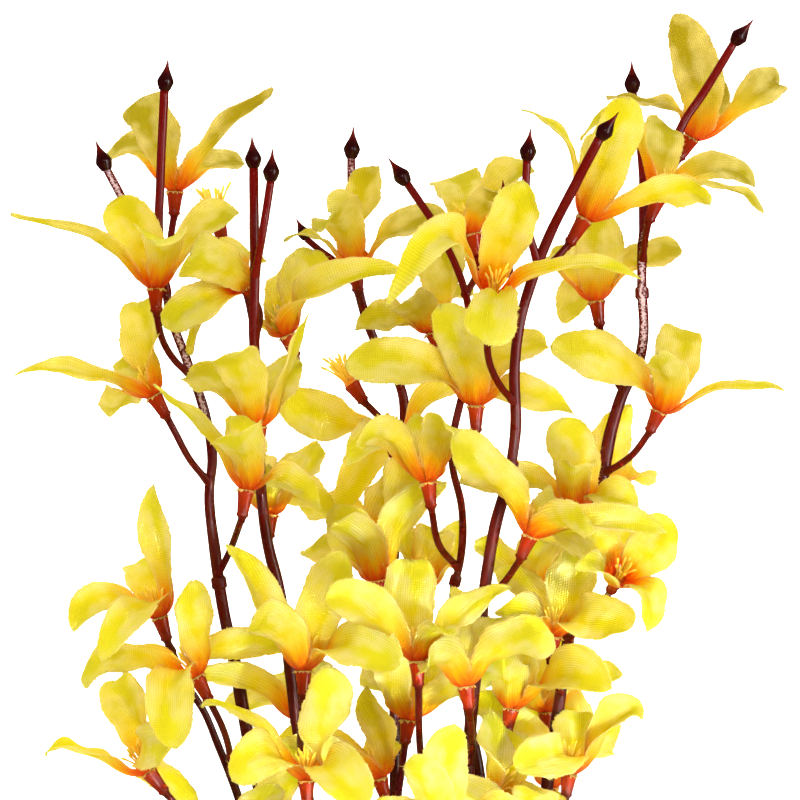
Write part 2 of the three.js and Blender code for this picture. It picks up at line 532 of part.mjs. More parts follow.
// The bloom's petal tips in space. The sheet's tips come first, and petals that it leaves out
// stand in the widest gaps between the others.
function petalTips(frame, bloom) {
  const { floor, axis } = frame;
  const petals = bloom[5].map(([across, down, lift, form = '', bow = FORM_BOW[form] ?? BOW]) => {
    const tip = place([across, down], floor.z);
    const spare = PETAL_REACH ** 2 - tip.distanceToSquared(floor);
    const depth = Math.sqrt(Math.max(spare, (LEAST_DEPTH * PETAL_REACH) ** 2));
    tip.z = form === 'r' ? PETAL_THICKNESS / 4 : Math.max(floor.z + lift * depth, TABLE_CLEARANCE);
    return { tip, form, bow };
  });
  const [first, second] = crossAxes(axis);
  const turns = petals.map(({ tip }) => turnOf(tip, floor, first, second));
  while (petals.length < PETALS_PER_BLOOM) {
    turns.sort((a, b) => a - b);
    let widest = { gap: 2 * Math.PI, from: LONE_TURN };
    if (turns.length > 0) {
      const gaps = turns.map((turn, i) => ({
        from: turn,
        gap: (turns[(i + 1) % turns.length] - turn + 2 * Math.PI) % (2 * Math.PI) || 2 * Math.PI,
      }));
      widest = gaps.reduce((best, one) => (one.gap > best.gap + HAIR ? one : best));
    }
    const turn = (widest.from + widest.gap / 2) % (2 * Math.PI);
    turns.push(turn);
    const tip = floor.clone()
      .addScaledVector(axis, PETAL_REACH * Math.cos(PETAL_FLARE))
      .addScaledVector(first, PETAL_REACH * Math.sin(PETAL_FLARE) * Math.cos(turn))
      .addScaledVector(second, PETAL_REACH * Math.sin(PETAL_FLARE) * Math.sin(turn));
    tip.z = Math.max(tip.z, TABLE_CLEARANCE);
    petals.push({ tip, form: '', bow: BOW });
  }
  return petals;
}

// Every order of the numbers from 0 to count - 1
function orders(count) {
  if (count === 1) return [[0]];
  const last = count - 1;
  return orders(last).flatMap((order) => (
    Array.from({ length: count }, (_, i) => order.toSpliced(i, 0, last))
  ));
}

// Petals set evenly round the cup's floor, in the places that turn each least on its way to
// its tip. A petal that points along the axis hardly cares where it starts.
function setRoots({ floor, axis }, petals) {
  const [first, second] = crossAxes(axis);
  const step = (2 * Math.PI) / petals.length;
  const pulls = petals.map(({ tip }) => {
    const out = tip.clone().sub(floor).normalize();
    const weight = Math.hypot(out.dot(first), out.dot(second));
    return { turn: turnOf(tip, floor, first, second), weight };
  });
  let best = null;
  for (const order of orders(petals.length)) {
    const sum = new THREE.Vector2();
    pulls.forEach(({ turn, weight }, i) => {
      const left = turn - order[i] * step;
      sum.add(new THREE.Vector2(Math.cos(left), Math.sin(left)).multiplyScalar(weight));
    });
    const fit = sum.length();
    if (!best || fit > best.fit + HAIR) best = { fit, start: Math.atan2(sum.y, sum.x), order };
  }
  const rootHalf = ROOT_RADIUS * Math.sin(step / 2) * ROOT_FILL;
  return petals
    .map((petal, i) => ({ ...petal, turn: best.start + best.order[i] * step, rootHalf }))
    .toSorted((a, b) => a.turn - b.turn);
}

// A tip that has given way: turned about the cup, seen from above, and moved up or down
function givenTip(floor, { tip, form }, [swing, lift]) {
  const moved = tip.clone().sub(floor);
  moved.applyAxisAngle(UP, THREE.MathUtils.degToRad(swing)).add(floor);
  if (form !== 'r') moved.z = Math.max(moved.z + lift, TABLE_CLEARANCE);
  return moved;
}

// Half the width of a petal along its length
function halfWidthAt(along, root, full, tipShare) {
  if (along < PETAL_BELLY) {
    return root + (full - root) * Math.sin((along / PETAL_BELLY) * (Math.PI / 2)) ** SHOULDER;
  }
  const past = (along - PETAL_BELLY) / (1 - PETAL_BELLY);
  return full * Math.sqrt(1 - (1 - tipShare ** 2) * past ** 2);
}

// Points over a petal: along is 0 at its root and 1 at its tip, side runs from -1 to 1.
// Its normal is that of the inner face, which looks at the bloom's axis.
function petalSurface({ floor, axis }, { turn, rootHalf, form, bow }, tip) {
  const [first, second] = crossAxes(axis);
  const rootward = first.multiplyScalar(Math.cos(turn)).addScaledVector(second, Math.sin(turn));
  const rootAcross = new THREE.Vector3().crossVectors(axis, rootward);
  const root = floor.clone()
    .addScaledVector(axis, NODE_GAP + PETAL_THICKNESS / 2)
    .addScaledVector(rootward, ROOT_RADIUS);
  const chord = tip.clone().sub(root);
  const length = chord.length();
  const outward = chord.clone().divideScalar(length).addScaledVector(rootward, ROOT_HOLD);
  const tipAcross = new THREE.Vector3().crossVectors(axis, outward).normalize();
  const leave = axis.clone().addScaledVector(rootward, ROOT_LEAN).normalize();
  const spine = new THREE.CubicBezierCurve3(
    root,
    root.clone().addScaledVector(leave, length * (ROOT_RUN + BOWED_RUN * bow)),
    root.clone().addScaledVector(chord, BACK_PLACE).addScaledVector(axis, length * bow),
    tip,
  );
  const facing = FORM_FACING[form] ?? FACING;
  const flat = new THREE.Vector3().crossVectors(UP, spine.getTangent(PETAL_BELLY)).normalize();
  const shownFace = flat.dot(tipAcross) < SHOWN_BACK ? -1 : 1;
  const halfWidth = (FORM_WIDTH[form] ?? PETAL_WIDTH) / 2;
  const tipShare = FORM_TIP_SHARE[form] ?? PETAL_TIP_SHARE;
  return (along, side) => {
    const ahead = spine.getTangent(along);
    const shown = new THREE.Vector3().crossVectors(UP, ahead).normalize();
    const twisted = tipAcross.clone().lerp(shown.multiplyScalar(shownFace), facing);
    const across = rootAcross.clone().lerp(twisted, Math.min(along / TWIST_END, 1));
    const lateral = across.addScaledVector(ahead, -across.dot(ahead)).normalize();
    const normal = new THREE.Vector3().crossVectors(ahead, lateral);
    const half = halfWidthAt(along, rootHalf, halfWidth, tipShare);
    const cup = along === 0 ? 0 : half * THREE.MathUtils.lerp(ROOT_HOLLOW, TIP_HOLLOW, along);
    const point = spine.getPoint(along)
      .addScaledVector(lateral, half * side)
      .addScaledVector(normal, cup * side * side);
    return { point, normal };
  };
}

// A closed sheet of the given thickness: both faces have the same triangles, and its rim is
// walled. Each spot is { point, normal }, and triangles wind round their normal.
function sheet(spots, triangles, thickness) {
  const count = spots.length;
  const faces = [1, -1].map((way) => spots
    .map(({ point, normal }) => point.clone().addScaledVector(normal, (way * thickness) / 2)));
  const edges = triangles.flatMap(([a, b, c]) => [[a, b], [b, c], [c, a]]);
  const known = new Set(edges.map(([a, b]) => `${a} ${b}`));
  const rim = edges.filter(([a, b]) => !known.has(`${b} ${a}`));
  const walls = rim.flatMap(([a, b]) => [[b, a, a + count], [b, a + count, b + count]]);
  const under = triangles.map(([a, b, c]) => [a + count, c + count, b + count]);
  return solidOf(faces.flat(), [...triangles, ...under, ...walls]);
}

const LONG_ROWS = [0, 0.22, 0.48, 0.78, 1];
const SHORT_ROWS = [0, 0.28, 0.66, 1];
const PLAIN_BOW = 0.2; // a petal that bows more than this takes the long rows

// One petal's spots and triangles: two corners at its root and tip, three across in between
function petalNet(frame, petal, tip, grow = 0) {
  const surface = petalSurface(frame, petal, tip);
  const plain = petal.bow <= PLAIN_BOW && !['w', 's'].includes(petal.form);
  const rows = plain ? SHORT_ROWS : LONG_ROWS;
  const last = rows.length - 1;
  const spots = rows.flatMap((along, i) => {
    const sides = i === 0 || i === last ? [-1, 1] : [-1, 0, 1];
    return sides.map((side) => surface(along, side * (1 + grow)));
  });
  // the root's corners are mitred where the petal turns up from the floor
  spots.slice(0, 2).forEach((spot) => spot.normal.add(frame.axis));
  const triangles = rows.slice(1).flatMap((_, i) => {
    const a = i === 0 ? 0 : 3 * i - 1;
    const b = 3 * i + 2;
    if (i === 0) return [[a, b, b + 1], [a, b + 1, a + 1], [a + 1, b + 1, b + 2]];
    if (i === last - 1) return [[a, b, a + 1], [a + 1, b, b + 1], [a + 1, b + 1, a + 2]];
    return [[a, b, b + 1], [a, b + 1, a + 1], [a + 1, b + 1, b + 2], [a + 1, b + 2, a + 2]];
  });
  return { spots, triangles };
}

// A petal as a sheet of its own, with some room round it
function petalSheet(frame, petal, tip, room) {
  const { spots, triangles } = petalNet(frame, petal, tip, (2 * room) / PETAL_WIDTH);
  return sheet(spots, triangles, PETAL_THICKNESS + 2 * room);
}

// The whole bloom as one cut-out: a flat floor with the petals round it, and the tuft of
// stamens standing in the middle
function petalWheel(frame, petals) {
  const spots = [];
  const triangles = [];
  const corners = [];
  for (const petal of petals) {
    const net = petalNet(frame, petal, petal.given);
    const start = spots.length;
    corners.push(start, start + 1);
    spots.push(...net.spots);
    triangles.push(...net.triangles.map((corner) => corner.map((i) => i + start)));
  }
  for (let i = 1; i + 1 < corners.length; i += 1) {
    triangles.push([corners[0], corners[i], corners[i + 1]]);
  }
  const wheel = sheet(spots, triangles, PETAL_THICKNESS);
  const tuft = [[NODE_GAP + PETAL_THICKNESS / 2, TUFT_RADIUS], [STAMEN_LENGTH, TUFT_RADIUS / 2]];
  const rings = tuft.map(([height, radius]) => ({
    at: frame.floor.clone().addScaledVector(frame.axis, height),
    radius,
  }));
  return wheel.add(sweep(rings, PEDICEL_SIDES));
}

// The room that a bloom's tuft of stamens needs
function calyxGuard({ floor, axis }) {
  const rings = [NODE_GAP, STAMEN_LENGTH].map((height) => ({
    at: floor.clone().addScaledVector(axis, height),
    radius: ROOT_RADIUS + NODE_GAP,
  }));
  return sweep(rings, PEDICEL_SIDES);
}

// The volume that a solid shares with others
const crossing = (solid, others) => others.reduce((sum, other) => {
  const [box, far] = [solid.boundingBox(), other.boundingBox()];
  const apart = [0, 1, 2].some((i) => box.min[i] > far.max[i] || far.min[i] > box.max[i]);
  return apart ? sum : sum + solid.intersect(other).volume();
}, 0);

// Every bloom, with each petal given way to what already stands there
function buildBlooms(stems) {
  const frames = mapped(BLOOMS, cupFrame);
  const standing = mapped(frames, (frame) => [calyxGuard(frame)]);
  const blooms = {};
  for (const [name, bloom] of Object.entries(BLOOMS)) {
    const frame = frames[name];
    if (BARE_BLOOMS.includes(name)) {
      blooms[name] = bareStamens(frame);
      continue;
    }
    const petals = setRoots(frame, petalTips(frame, bloom));
    const neighbours = Object.keys(standing).filter((other) => other !== name);
    const rivals = [...Object.values(stems), ...neighbours.flatMap((other) => standing[other])];
    const own = [];
    for (const petal of petals) {
      let best = null;
      for (const give of GIVES) {
        const tip = givenTip(frame.floor, petal, give);
        const amount = crossing(petalSheet(frame, petal, tip, NODE_GAP), rivals)
          + crossing(petalSheet(frame, petal, tip, SISTER_ROOM), own);
        if (!best || amount < best.amount) best = { amount, tip };
        if (amount === 0) break;
      }
      petal.given = best.tip;
      own.push(petalSheet(frame, petal, petal.given, 0));
    }
    standing[name].push(...own);
    blooms[name] = petalWheel(frame, petals);
  }
  return blooms;
}

// ---------------------------------------------------------------- the scene graph

const TABLE_SIZE = 2000;

// What lies below the table, which flattens whatever rests on it
function underTable() {
  const box = new THREE.BoxGeometry(TABLE_SIZE, TABLE_SIZE, TABLE_SIZE);
  box.translate(0, 0, -TABLE_SIZE / 2);
  const position = box.getAttribute('position');
  const corners = [];
  const corner = Array.from({ length: position.count }, (_, i) => {
    const point = new THREE.Vector3().fromBufferAttribute(position, i);
    const known = corners.findIndex((other) => other.distanceTo(point) < HAIR);
    return known < 0 ? corners.push(point) - 1 : known;
  });
  const index = Array.from(box.getIndex().array, (i) => corner[i]);
  const firsts = index.filter((_, i) => i % 3 === 0);
  const triangles = firsts.map((_, i) => index.slice(3 * i, 3 * i + 3));
  return solidOf(corners, triangles);
}

function meshOf(name, solid, material) {
  const { vertProperties, triVerts } = solid.getMesh();
  const geometry = new THREE.BufferGeometry();
  geometry.setAttribute('position', new THREE.BufferAttribute(vertProperties, 3));
  geometry.setIndex(new THREE.BufferAttribute(triVerts, 1));
  const mesh = new THREE.Mesh(geometry, material);
  mesh.name = name;
  return mesh;
}

const finish = (color, roughness) => (
  new THREE.MeshStandardMaterial({ color, roughness, metalness: 0 })
);
const stemPlastic = () => finish(0x6a1512, 0.35);
const petalCloth = () => finish(0xf2d838, 0.8);

const branch = new THREE.Group();
branch.name = 'forsythia_branch';

const table = underTable();
const stems = mapped(STEMS, (_, name) => buildStem(name).subtract(table));
for (const [name, solid] of Object.entries(stems)) {
  branch.add(meshOf(name, solid, stemPlastic()));
}
for (const [name, solid] of Object.entries(buildBlooms(stems))) {
  branch.add(meshOf(`bloom_${name}`, solid.subtract(table), petalCloth()));
}

export default branch;
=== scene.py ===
# %% [markdown]
# # A branch of artificial forsythia
# The real thing is a bunch of moulded plastic stems with woven polyester blooms pushed onto
# them. The stems are glossy and red-brown, and each bloom is one cut-out of cloth: four long
# petals round a hole, hot-pressed into a bell and printed orange in its throat. This lesson
# starts from a coarse solid model of the branch, the frame, and gives every stem and every bloom
# a finer piece of its own in the same place.

# %% Load the frame
import json
from collections import namedtuple

import bpy
import numpy as np
from mathutils import Matrix, Vector

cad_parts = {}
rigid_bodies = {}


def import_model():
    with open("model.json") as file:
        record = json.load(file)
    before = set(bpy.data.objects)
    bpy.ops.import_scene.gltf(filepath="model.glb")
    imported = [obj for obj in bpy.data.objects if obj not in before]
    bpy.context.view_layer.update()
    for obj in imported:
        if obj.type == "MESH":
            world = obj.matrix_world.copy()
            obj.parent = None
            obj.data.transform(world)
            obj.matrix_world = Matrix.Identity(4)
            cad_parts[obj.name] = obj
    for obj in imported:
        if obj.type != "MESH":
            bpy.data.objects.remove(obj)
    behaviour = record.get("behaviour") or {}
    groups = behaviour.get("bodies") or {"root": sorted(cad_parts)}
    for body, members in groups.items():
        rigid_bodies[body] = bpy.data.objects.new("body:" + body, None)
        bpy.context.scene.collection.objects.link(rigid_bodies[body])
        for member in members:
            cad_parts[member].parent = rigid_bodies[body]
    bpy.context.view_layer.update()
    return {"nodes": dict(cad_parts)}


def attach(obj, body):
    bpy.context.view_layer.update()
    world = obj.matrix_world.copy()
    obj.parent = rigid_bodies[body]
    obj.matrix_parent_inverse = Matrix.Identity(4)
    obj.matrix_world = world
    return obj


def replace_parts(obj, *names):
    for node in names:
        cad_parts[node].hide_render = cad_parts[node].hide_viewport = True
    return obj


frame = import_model()
MM = 0.001
print("frame nodes:", len(frame["nodes"]))

# %% [markdown]
# ## The layout sheet
# A spray like this is laid out as a florist would draw it: flat on a sheet, seen from above,
# with the height of each part written beside it. Everything below is placed from that sheet.
# Sheet places are [across, down] in sheet units. The model's axes are X to the right, Y along
# the spray from its cut end to its tips, and Z up out of the table.

# %% Sheet places to millimetres
SHEET_UNIT = 0.27
SHEET_MIDDLE = 400
SHEET_FOOT = 1500
UP = np.array([0.0, 0.0, 1.0])
WHOLE_TURN = 2 * np.pi


def place(spots, heights):
    """Points in millimetres: across and down are scaled from the sheet, heights are kept."""
    spots = np.asarray(spots, float)
    x = (spots[..., 0] - SHEET_MIDDLE) * SHEET_UNIT
    y = (SHEET_FOOT - spots[..., 1]) * SHEET_UNIT
    return np.stack([x, y, np.broadcast_to(heights, x.shape)], axis=-1)


def profile(table, at):
    """A value read off a table of [place, value] rows, with straight lines between them."""
    return np.interp(at, *np.array(table, float).T)


def unit(vectors):
    """Vectors divided by their own lengths."""
    return vectors / np.linalg.norm(vectors, axis=-1, keepdims=True)


def dot(a, b):
    """The dot product along the last axis, kept as an axis of one."""
    return np.sum(a * b, axis=-1, keepdims=True)


def cross_axes(axis):
    """Two directions square to the axis and to each other, the first level."""
    first = np.cross(axis, UP)
    first = unit(first) if np.linalg.norm(first) >= 0.1 else np.array([1.0, 0.0, 0.0])
    return first, np.cross(axis, first)


def round_axis(axis, turn):
    """The direction square to an axis at each turn round it: first * cos + second * sin."""
    first, second = cross_axes(axis)
    turn = np.asarray(turn)[..., None]
    return first * np.cos(turn) + second * np.sin(turn)


def even_turns(count):
    """Angles spread evenly over a whole turn."""
    return np.arange(count) / count * 2 * np.pi


# %% [markdown]
# ## Camera, table and light
# The branch lies on a white table and the camera looks straight down on it through a long lens,
# so that near and far blooms keep their true sizes. The table top glows strongly, which lifts
# the shadows and lets the thin cloth shine through. One softbox stands beyond the tips of the
# branch, a larger one stands by its cut end, and a gridded lamp lifts the crowd of lower blooms.
# Dark gloss would turn grey if so much white mirrored in it, so the table, the world and the
# softboxes don't. A small lamp gives the plastic its glints, and a long strip at the side draws
# one soft line down each stem.

# %% Camera
VIEW_WIDTH = 800 * SHEET_UNIT * MM
VIEW_MIDDLE = place([400, 400], 55) * MM
CAMERA_DISTANCE = 3.0


def added(name, data):
    """A new object in the scene."""
    made = bpy.data.objects.new(name, data)
    bpy.context.scene.collection.objects.link(made)
    return made


camera_data = bpy.data.cameras.new("camera")
camera_data.sensor_width = 36
camera_data.lens = camera_data.sensor_width * CAMERA_DISTANCE / VIEW_WIDTH
camera_data.clip_end = 20
camera = added("camera", camera_data)
camera.location = Vector(VIEW_MIDDLE + UP * CAMERA_DISTANCE)
bpy.context.scene.camera = camera
bpy.context.scene.view_settings.view_transform = "Standard"
print("lens in mm:", round(camera_data.lens))

# %% Table
TABLE_SIZE = 6.0
TABLE_LOOK = {
    "Base Color": (0.9, 0.9, 0.9, 1),
    "Roughness": 0.9,
    "Specular IOR Level": 0.1,
    "Emission Color": (1, 1, 1, 1),
    "Emission Strength": 1.6,
}

corners = np.array([[-1, -1, 0], [1, -1, 0], [1, 1, 0], [-1, 1, 0]]) * TABLE_SIZE / 2
table_mesh = bpy.data.meshes.new("table")
table_mesh.from_pydata(corners.tolist(), [], [[0, 1, 2, 3]])
table = added("table", table_mesh)
table_finish = bpy.data.materials.new("white_table")
table_finish.use_nodes = True
for socket, value in TABLE_LOOK.items():
    table_finish.node_tree.nodes["Principled BSDF"].inputs[socket].default_value = value
table_mesh.materials.append(table_finish)
print("table side in m:", TABLE_SIZE)

# %% Lights
WHITE = (1.0, 1.0, 1.0)
WARM_WHITE = (1.0, 1.0, 0.98)
BLOOMS_MIDDLE = (0.0, 0.28, 0.06)
LOWER_BLOOMS = (0.02, 0.2, 0.06)
OPEN_SPREAD, GRID_SPREAD = 180, 9
STRIP_WIDTH = 0.4
WORLD_LIGHT = 0.55


def lamp(name, place_m, size, power, colour=WHITE, target_m=BLOOMS_MIDDLE, spread=OPEN_SPREAD):
    """A square area light that points at a target. A grid narrows its spread, in degrees."""
    data = bpy.data.lights.new(name, "AREA")
    data.size = size
    data.energy = power
    data.color = colour
    data.spread = np.radians(spread)
    made = added(name, data)
    turn = (Vector(place_m) - Vector(target_m)).to_track_quat("Z", "Y")
    made.matrix_world = Matrix.Translation(place_m) @ turn.to_matrix().to_4x4()
    return made


key = lamp("key_softbox", (-0.4, 0.9, 1.6), 0.4, 12.3, WARM_WHITE)
fill = lamp("fill_softbox", (0.7, -0.3, 1.3), 0.6, 15.5)
lamp("gridded_lamp", (0.4, 0.0, 1.45), 0.1, 0.16, WARM_WHITE, LOWER_BLOOMS, GRID_SPREAD)
lamp("glint_lamp", (0.2, 0.75, 1.7), 0.05, 6)
strip = lamp("strip_lamp", (1.5, 0.3, 0.95), 1.6, 40)
strip.data.shape = "RECTANGLE"
strip.data.size_y = STRIP_WIDTH
strip.visible_diffuse = False

world = bpy.data.worlds.new("studio")
bpy.context.scene.world = world
world.use_nodes = True
sky = world.node_tree.nodes["Background"]
sky.inputs["Color"].default_value = (*WHITE, 1)
sky.inputs["Strength"].default_value = WORLD_LIGHT
world.cycles_visibility.glossy = False
for unmirrored in (table, key, fill):
    unmirrored.visible_glossy = False
print("lamps:", len(bpy.data.lights))


# %% [markdown]
# ## Effects that finishes share
# A weave, the uneven take-up of dye and the faint orange-peel of moulded plastic are each a
# small recipe of nodes. A recipe is built once as a node group with named inputs, and every
# finish that needs it places the group with its own values.

# %% A helper for node groups
MIX_SOCKETS = (0, 6, 7)


class Recipe:
    """A node tree with short ways to add nodes and to link them."""

    def __init__(self, tree):
        self.tree = tree

    def node(self, kind, settings=None, **values):
        """Adds a node, sets its options, and sets or links its inputs by name."""
        made = self.tree.nodes.new(kind)
        for option, value in (settings or {}).items():
            setattr(made, option, value)
        for name, value in values.items():
            self.feed(made.inputs[name], value)
        return made

    def feed(self, socket, value):
        """Links an output socket, or sets a plain value."""
        if isinstance(value, bpy.types.NodeSocket):
            self.tree.links.new(value, socket)
        else:
            socket.default_value = value

    def fed(self, kind, settings, sockets, values):
        """Adds a node whose inputs are given by number, and gives its outputs."""
        made = self.node(kind, settings)
        for number, value in zip(sockets, values):
            self.feed(made.inputs[number], value)
        return made.outputs

    def math(self, operation, *values):
        """One arithmetic step on one or two values."""
        return self.fed("ShaderNodeMath", {"operation": operation}, range(len(values)), values)[0]

    def mix(self, share, a, b, blend="MIX"):
        """A mix of two colours."""
        settings = {"data_type": "RGBA", "blend_type": blend}
        return self.fed("ShaderNodeMix", settings, MIX_SOCKETS, (share, a, b))[2]

    def spread(self, value, low, high, to_low=0.0, to_high=1.0):
        """A value carried from one range to another, and held inside it."""
        values = (value, low, high, to_low, to_high)
        return self.fed("ShaderNodeMapRange", {}, range(len(values)), values)[0]

    def attribute(self, name):
        """The value of one of the mesh's own attributes."""
        return self.node("ShaderNodeAttribute", {"attribute_name": name}).outputs["Fac"]

    def effect(self, group, chart, **values):
        """A shared effect placed on a map: its outputs by name."""
        return self.node("ShaderNodeGroup", {"node_tree": group.tree}, Map=chart, **values).outputs


def new_group(name, inputs, outputs):
    """An empty node group with its sockets: (recipe, input sockets by name, output node)."""
    tree = bpy.data.node_groups.new(name, "ShaderNodeTree")
    for label, (kind, value) in inputs.items():
        socket = tree.interface.new_socket(label, in_out="INPUT", socket_type=kind)
        if value is not None:
            socket.default_value = value
    for label in outputs:
        tree.interface.new_socket(label, in_out="OUTPUT", socket_type=FLOAT)
    recipe = Recipe(tree)
    given = recipe.node("NodeGroupInput").outputs
    return recipe, given, recipe.node("NodeGroupOutput").inputs


FLOAT = "NodeSocketFloat"
VECTOR = "NodeSocketVector"

# %% [markdown]
# ### Weave
# Plain-woven cloth is a checkerboard of threads: at each crossing either the warp or the weft
# is on top. Across a thread the height is the sine of a half turn, and the product of the two
# sines says which thread is up. The map's own unit is the millimetre, so the pitch is the real
# distance between two threads.

# %% Weave group
weave, given, result = new_group(
    "plain_weave", {"Map": (VECTOR, None), "Pitch": (FLOAT, 0.6)}, ("Height", "Gap")
)
axes = weave.node("ShaderNodeSeparateXYZ", Vector=given["Map"]).outputs
turns = [weave.math("DIVIDE", axes[i], weave.math("DIVIDE", given["Pitch"], np.pi)) for i in (0, 1)]
warp_wave, weft_wave = [weave.math("SINE", turn) for turn in turns]
warp, weft = [weave.math("ABSOLUTE", wave) for wave in (warp_wave, weft_wave)]
over = weave.spread(weave.math("MULTIPLY", warp_wave, weft_wave), -0.6, 0.6)
under = weave.math("SUBTRACT", 1.0, over)
height = weave.math("MAXIMUM", weave.math("MULTIPLY", warp, over), weave.math("MULTIPLY", weft, under))
weave.feed(result["Height"], height)
# Gap: where neither thread is up; the petal cloth paints its shade there
weave.feed(result["Gap"], weave.spread(weave.math("MINIMUM", warp, weft), 0.05, 0.5, 1.0, 0.0))
print("weave nodes:", len(weave.tree.nodes))

# %% [markdown]
# ### Uneven dye and painted sheen
# Cheap printed cloth takes its dye in soft blotches, stretched along the petal. Two octaves of
# noise, one broad and one fine, are enough. The broad one also places pale blotches of painted
# sheen on the petals.

# %% Dye and painted sheen group
dye, given, result = new_group(
    "uneven_dye_and_sheen",
    {"Map": (VECTOR, None), "Scale": (FLOAT, 0.12), "Seed": (FLOAT, 0.0)},
    ("Broad", "Streak"),
)
four = {"noise_dimensions": "4D"}
for label, stretch, detail in (("Broad", (1.0, 0.6, 1.0), 3.0), ("Streak", (7.0, 0.7, 1.0), 2.0)):
    chart = dye.node("ShaderNodeMapping", Vector=given["Map"], Scale=stretch).outputs[0]
    noise = dye.node(
        "ShaderNodeTexNoise", four, Vector=chart, W=given["Seed"], Scale=given["Scale"], Detail=detail
    )
    dye.feed(result[label], dye.spread(noise.outputs[0], 0.3, 0.7))
print("dye nodes:", len(dye.tree.nodes))

# %% [markdown]
# ### Moulded skin
# Soft PVC comes out of its mould with a slight waviness and dull patches where it was handled.

# %% Moulded skin group
skin, given, result = new_group(
    "moulded_skin", {"Map": (VECTOR, None), "Scale": (FLOAT, 300.0)}, ("Height", "Dull", "Mottle")
)


def skin_noise(factor, detail):
    """Noise at a multiple of the group's scale."""
    scale = skin.math("MULTIPLY", given["Scale"], factor)
    return skin.node("ShaderNodeTexNoise", Vector=given["Map"], Scale=scale, Detail=detail).outputs[0]


skin.feed(result["Height"], skin_noise(1.0, 2.0))
skin.feed(result["Dull"], skin.spread(skin_noise(0.3, 4.0), 0.35, 0.7))
skin.feed(result["Mottle"], skin.spread(skin_noise(4.0, 3.0), 0.3, 0.7))
print("moulded skin nodes:", len(skin.tree.nodes))


# %% [markdown]
# ## Petal cloth
# Thin polyester sends part of the light back and lets part of it through, so its material mixes
# a Principled shader with a Translucent one. The print runs along each petal, from a red-orange
# throat to lemon, and streaks of dye push its edge up and down. Past the throat the cloth carries
# pale blotches of painted sheen. Where the tone attribute says so, it is mixed towards a dull dark
# yellow, which is partly each petal's own tone and partly painted shade. It is worn pale along
# its cut edge, and painted shade darkens the gaps between its threads.

# %% Helpers for finishes
RELIEF_DEPTH = 0.0002


def linear(red, green, blue):
    """A display colour from 0 to 255 as linear light, and opaque."""
    display = np.array([red, green, blue]) / 255
    return (*np.where(display <= 0.04045, display / 12.92, ((display + 0.055) / 1.055) ** 2.4), 1)


def finish(name):
    """A material with an empty Principled shader: (material, recipe, shader)."""
    material = bpy.data.materials.new(name)
    material.use_nodes = True
    return material, Recipe(material.node_tree), material.node_tree.nodes["Principled BSDF"]


def ramp(recipe, value, stops):
    """A colour ramp through (position, colour) stops."""
    made = recipe.node("ShaderNodeValToRGB", Fac=value)
    elements = made.color_ramp.elements
    elements[0].position, elements[1].position = stops[0][0], stops[-1][0]
    for position, _ in stops[1:-1]:
        elements.new(position)
    for element, (_, colour) in zip(elements, stops):
        element.color = colour
    return made.outputs[0]


def relief(recipe, shader, height, strength):
    """Bends the shader's normals by a height that stands for 0.2 mm, and gives them."""
    bump = recipe.node("ShaderNodeBump", Height=height, Strength=strength, Distance=RELIEF_DEPTH)
    recipe.feed(shader.inputs["Normal"], bump.outputs[0])
    return bump.outputs[0]


# %% Petal cloth
THREAD_PITCH = 0.6
BLOTCH_SCALE = 0.14
# a dull dark yellow: painted shade on blooms near the tips, most on the low ones, mixed with each petal's
# own tone
DULL_TONE_AND_SHADE = linear(176, 158, 32)
# painted sheen: a pale whitish yellow laid on in broad blotches, standing for the satin highlights
PAINTED_SHEEN = linear(246, 243, 170)
WORN = linear(250, 240, 170)
BLOTCH = (0.96, 0.93, 0.5, 1)
# painted shade: the darker golden colour in the gaps between the threads
SHADE_BETWEEN_THREADS = (0.7, 0.6, 0.2, 1)
SIFTED = (0.98, 0.85, 0.1, 1)
SHARE_THROUGH = 0.56
PRINT = [
    (0.0, linear(236, 90, 2)),
    (0.05, linear(240, 120, 4)),
    (0.11, linear(243, 162, 6)),
    (0.19, linear(244, 200, 8)),
    (0.32, linear(240, 227, 18)),
    (0.6, linear(236, 236, 30)),
    (1.0, linear(235, 237, 62)),
]

petal_cloth, recipe, shader = finish("petal_cloth")
cloth_map = recipe.node("ShaderNodeUVMap", {"uv_map": "cloth"}).outputs[0]
tone = recipe.attribute("tone")
threads = recipe.effect(weave, cloth_map, Pitch=THREAD_PITCH)
dye_and_sheen_noise = recipe.effect(dye, cloth_map, Scale=BLOTCH_SCALE, Seed=tone)
streak_push = recipe.spread(dye_and_sheen_noise["Streak"], 0.0, 1.0, -0.03, 0.035)
print_place = recipe.math("ADD", recipe.attribute("along"), streak_push)
printed = ramp(recipe, print_place, PRINT)
# the tone attribute mixes in the dull dark yellow: each petal's own tone, and painted shade
toned_and_shaded = recipe.mix(recipe.spread(tone, 0.0, 1.0, 0.0, 0.7), printed, DULL_TONE_AND_SHADE)
# painted sheen, in pale blotches placed by the broad noise
sheened = recipe.mix(recipe.spread(dye_and_sheen_noise["Broad"], 0.3, 0.95), toned_and_shaded, PAINTED_SHEEN)
past_throat = recipe.mix(recipe.spread(print_place, 0.2, 0.5), printed, sheened)
worn = recipe.mix(recipe.attribute("worn"), past_throat, WORN)
blotchy = recipe.mix(recipe.spread(dye_and_sheen_noise["Broad"], 0.5, 0.0, 0.0, 0.6), worn, BLOTCH, "MULTIPLY")
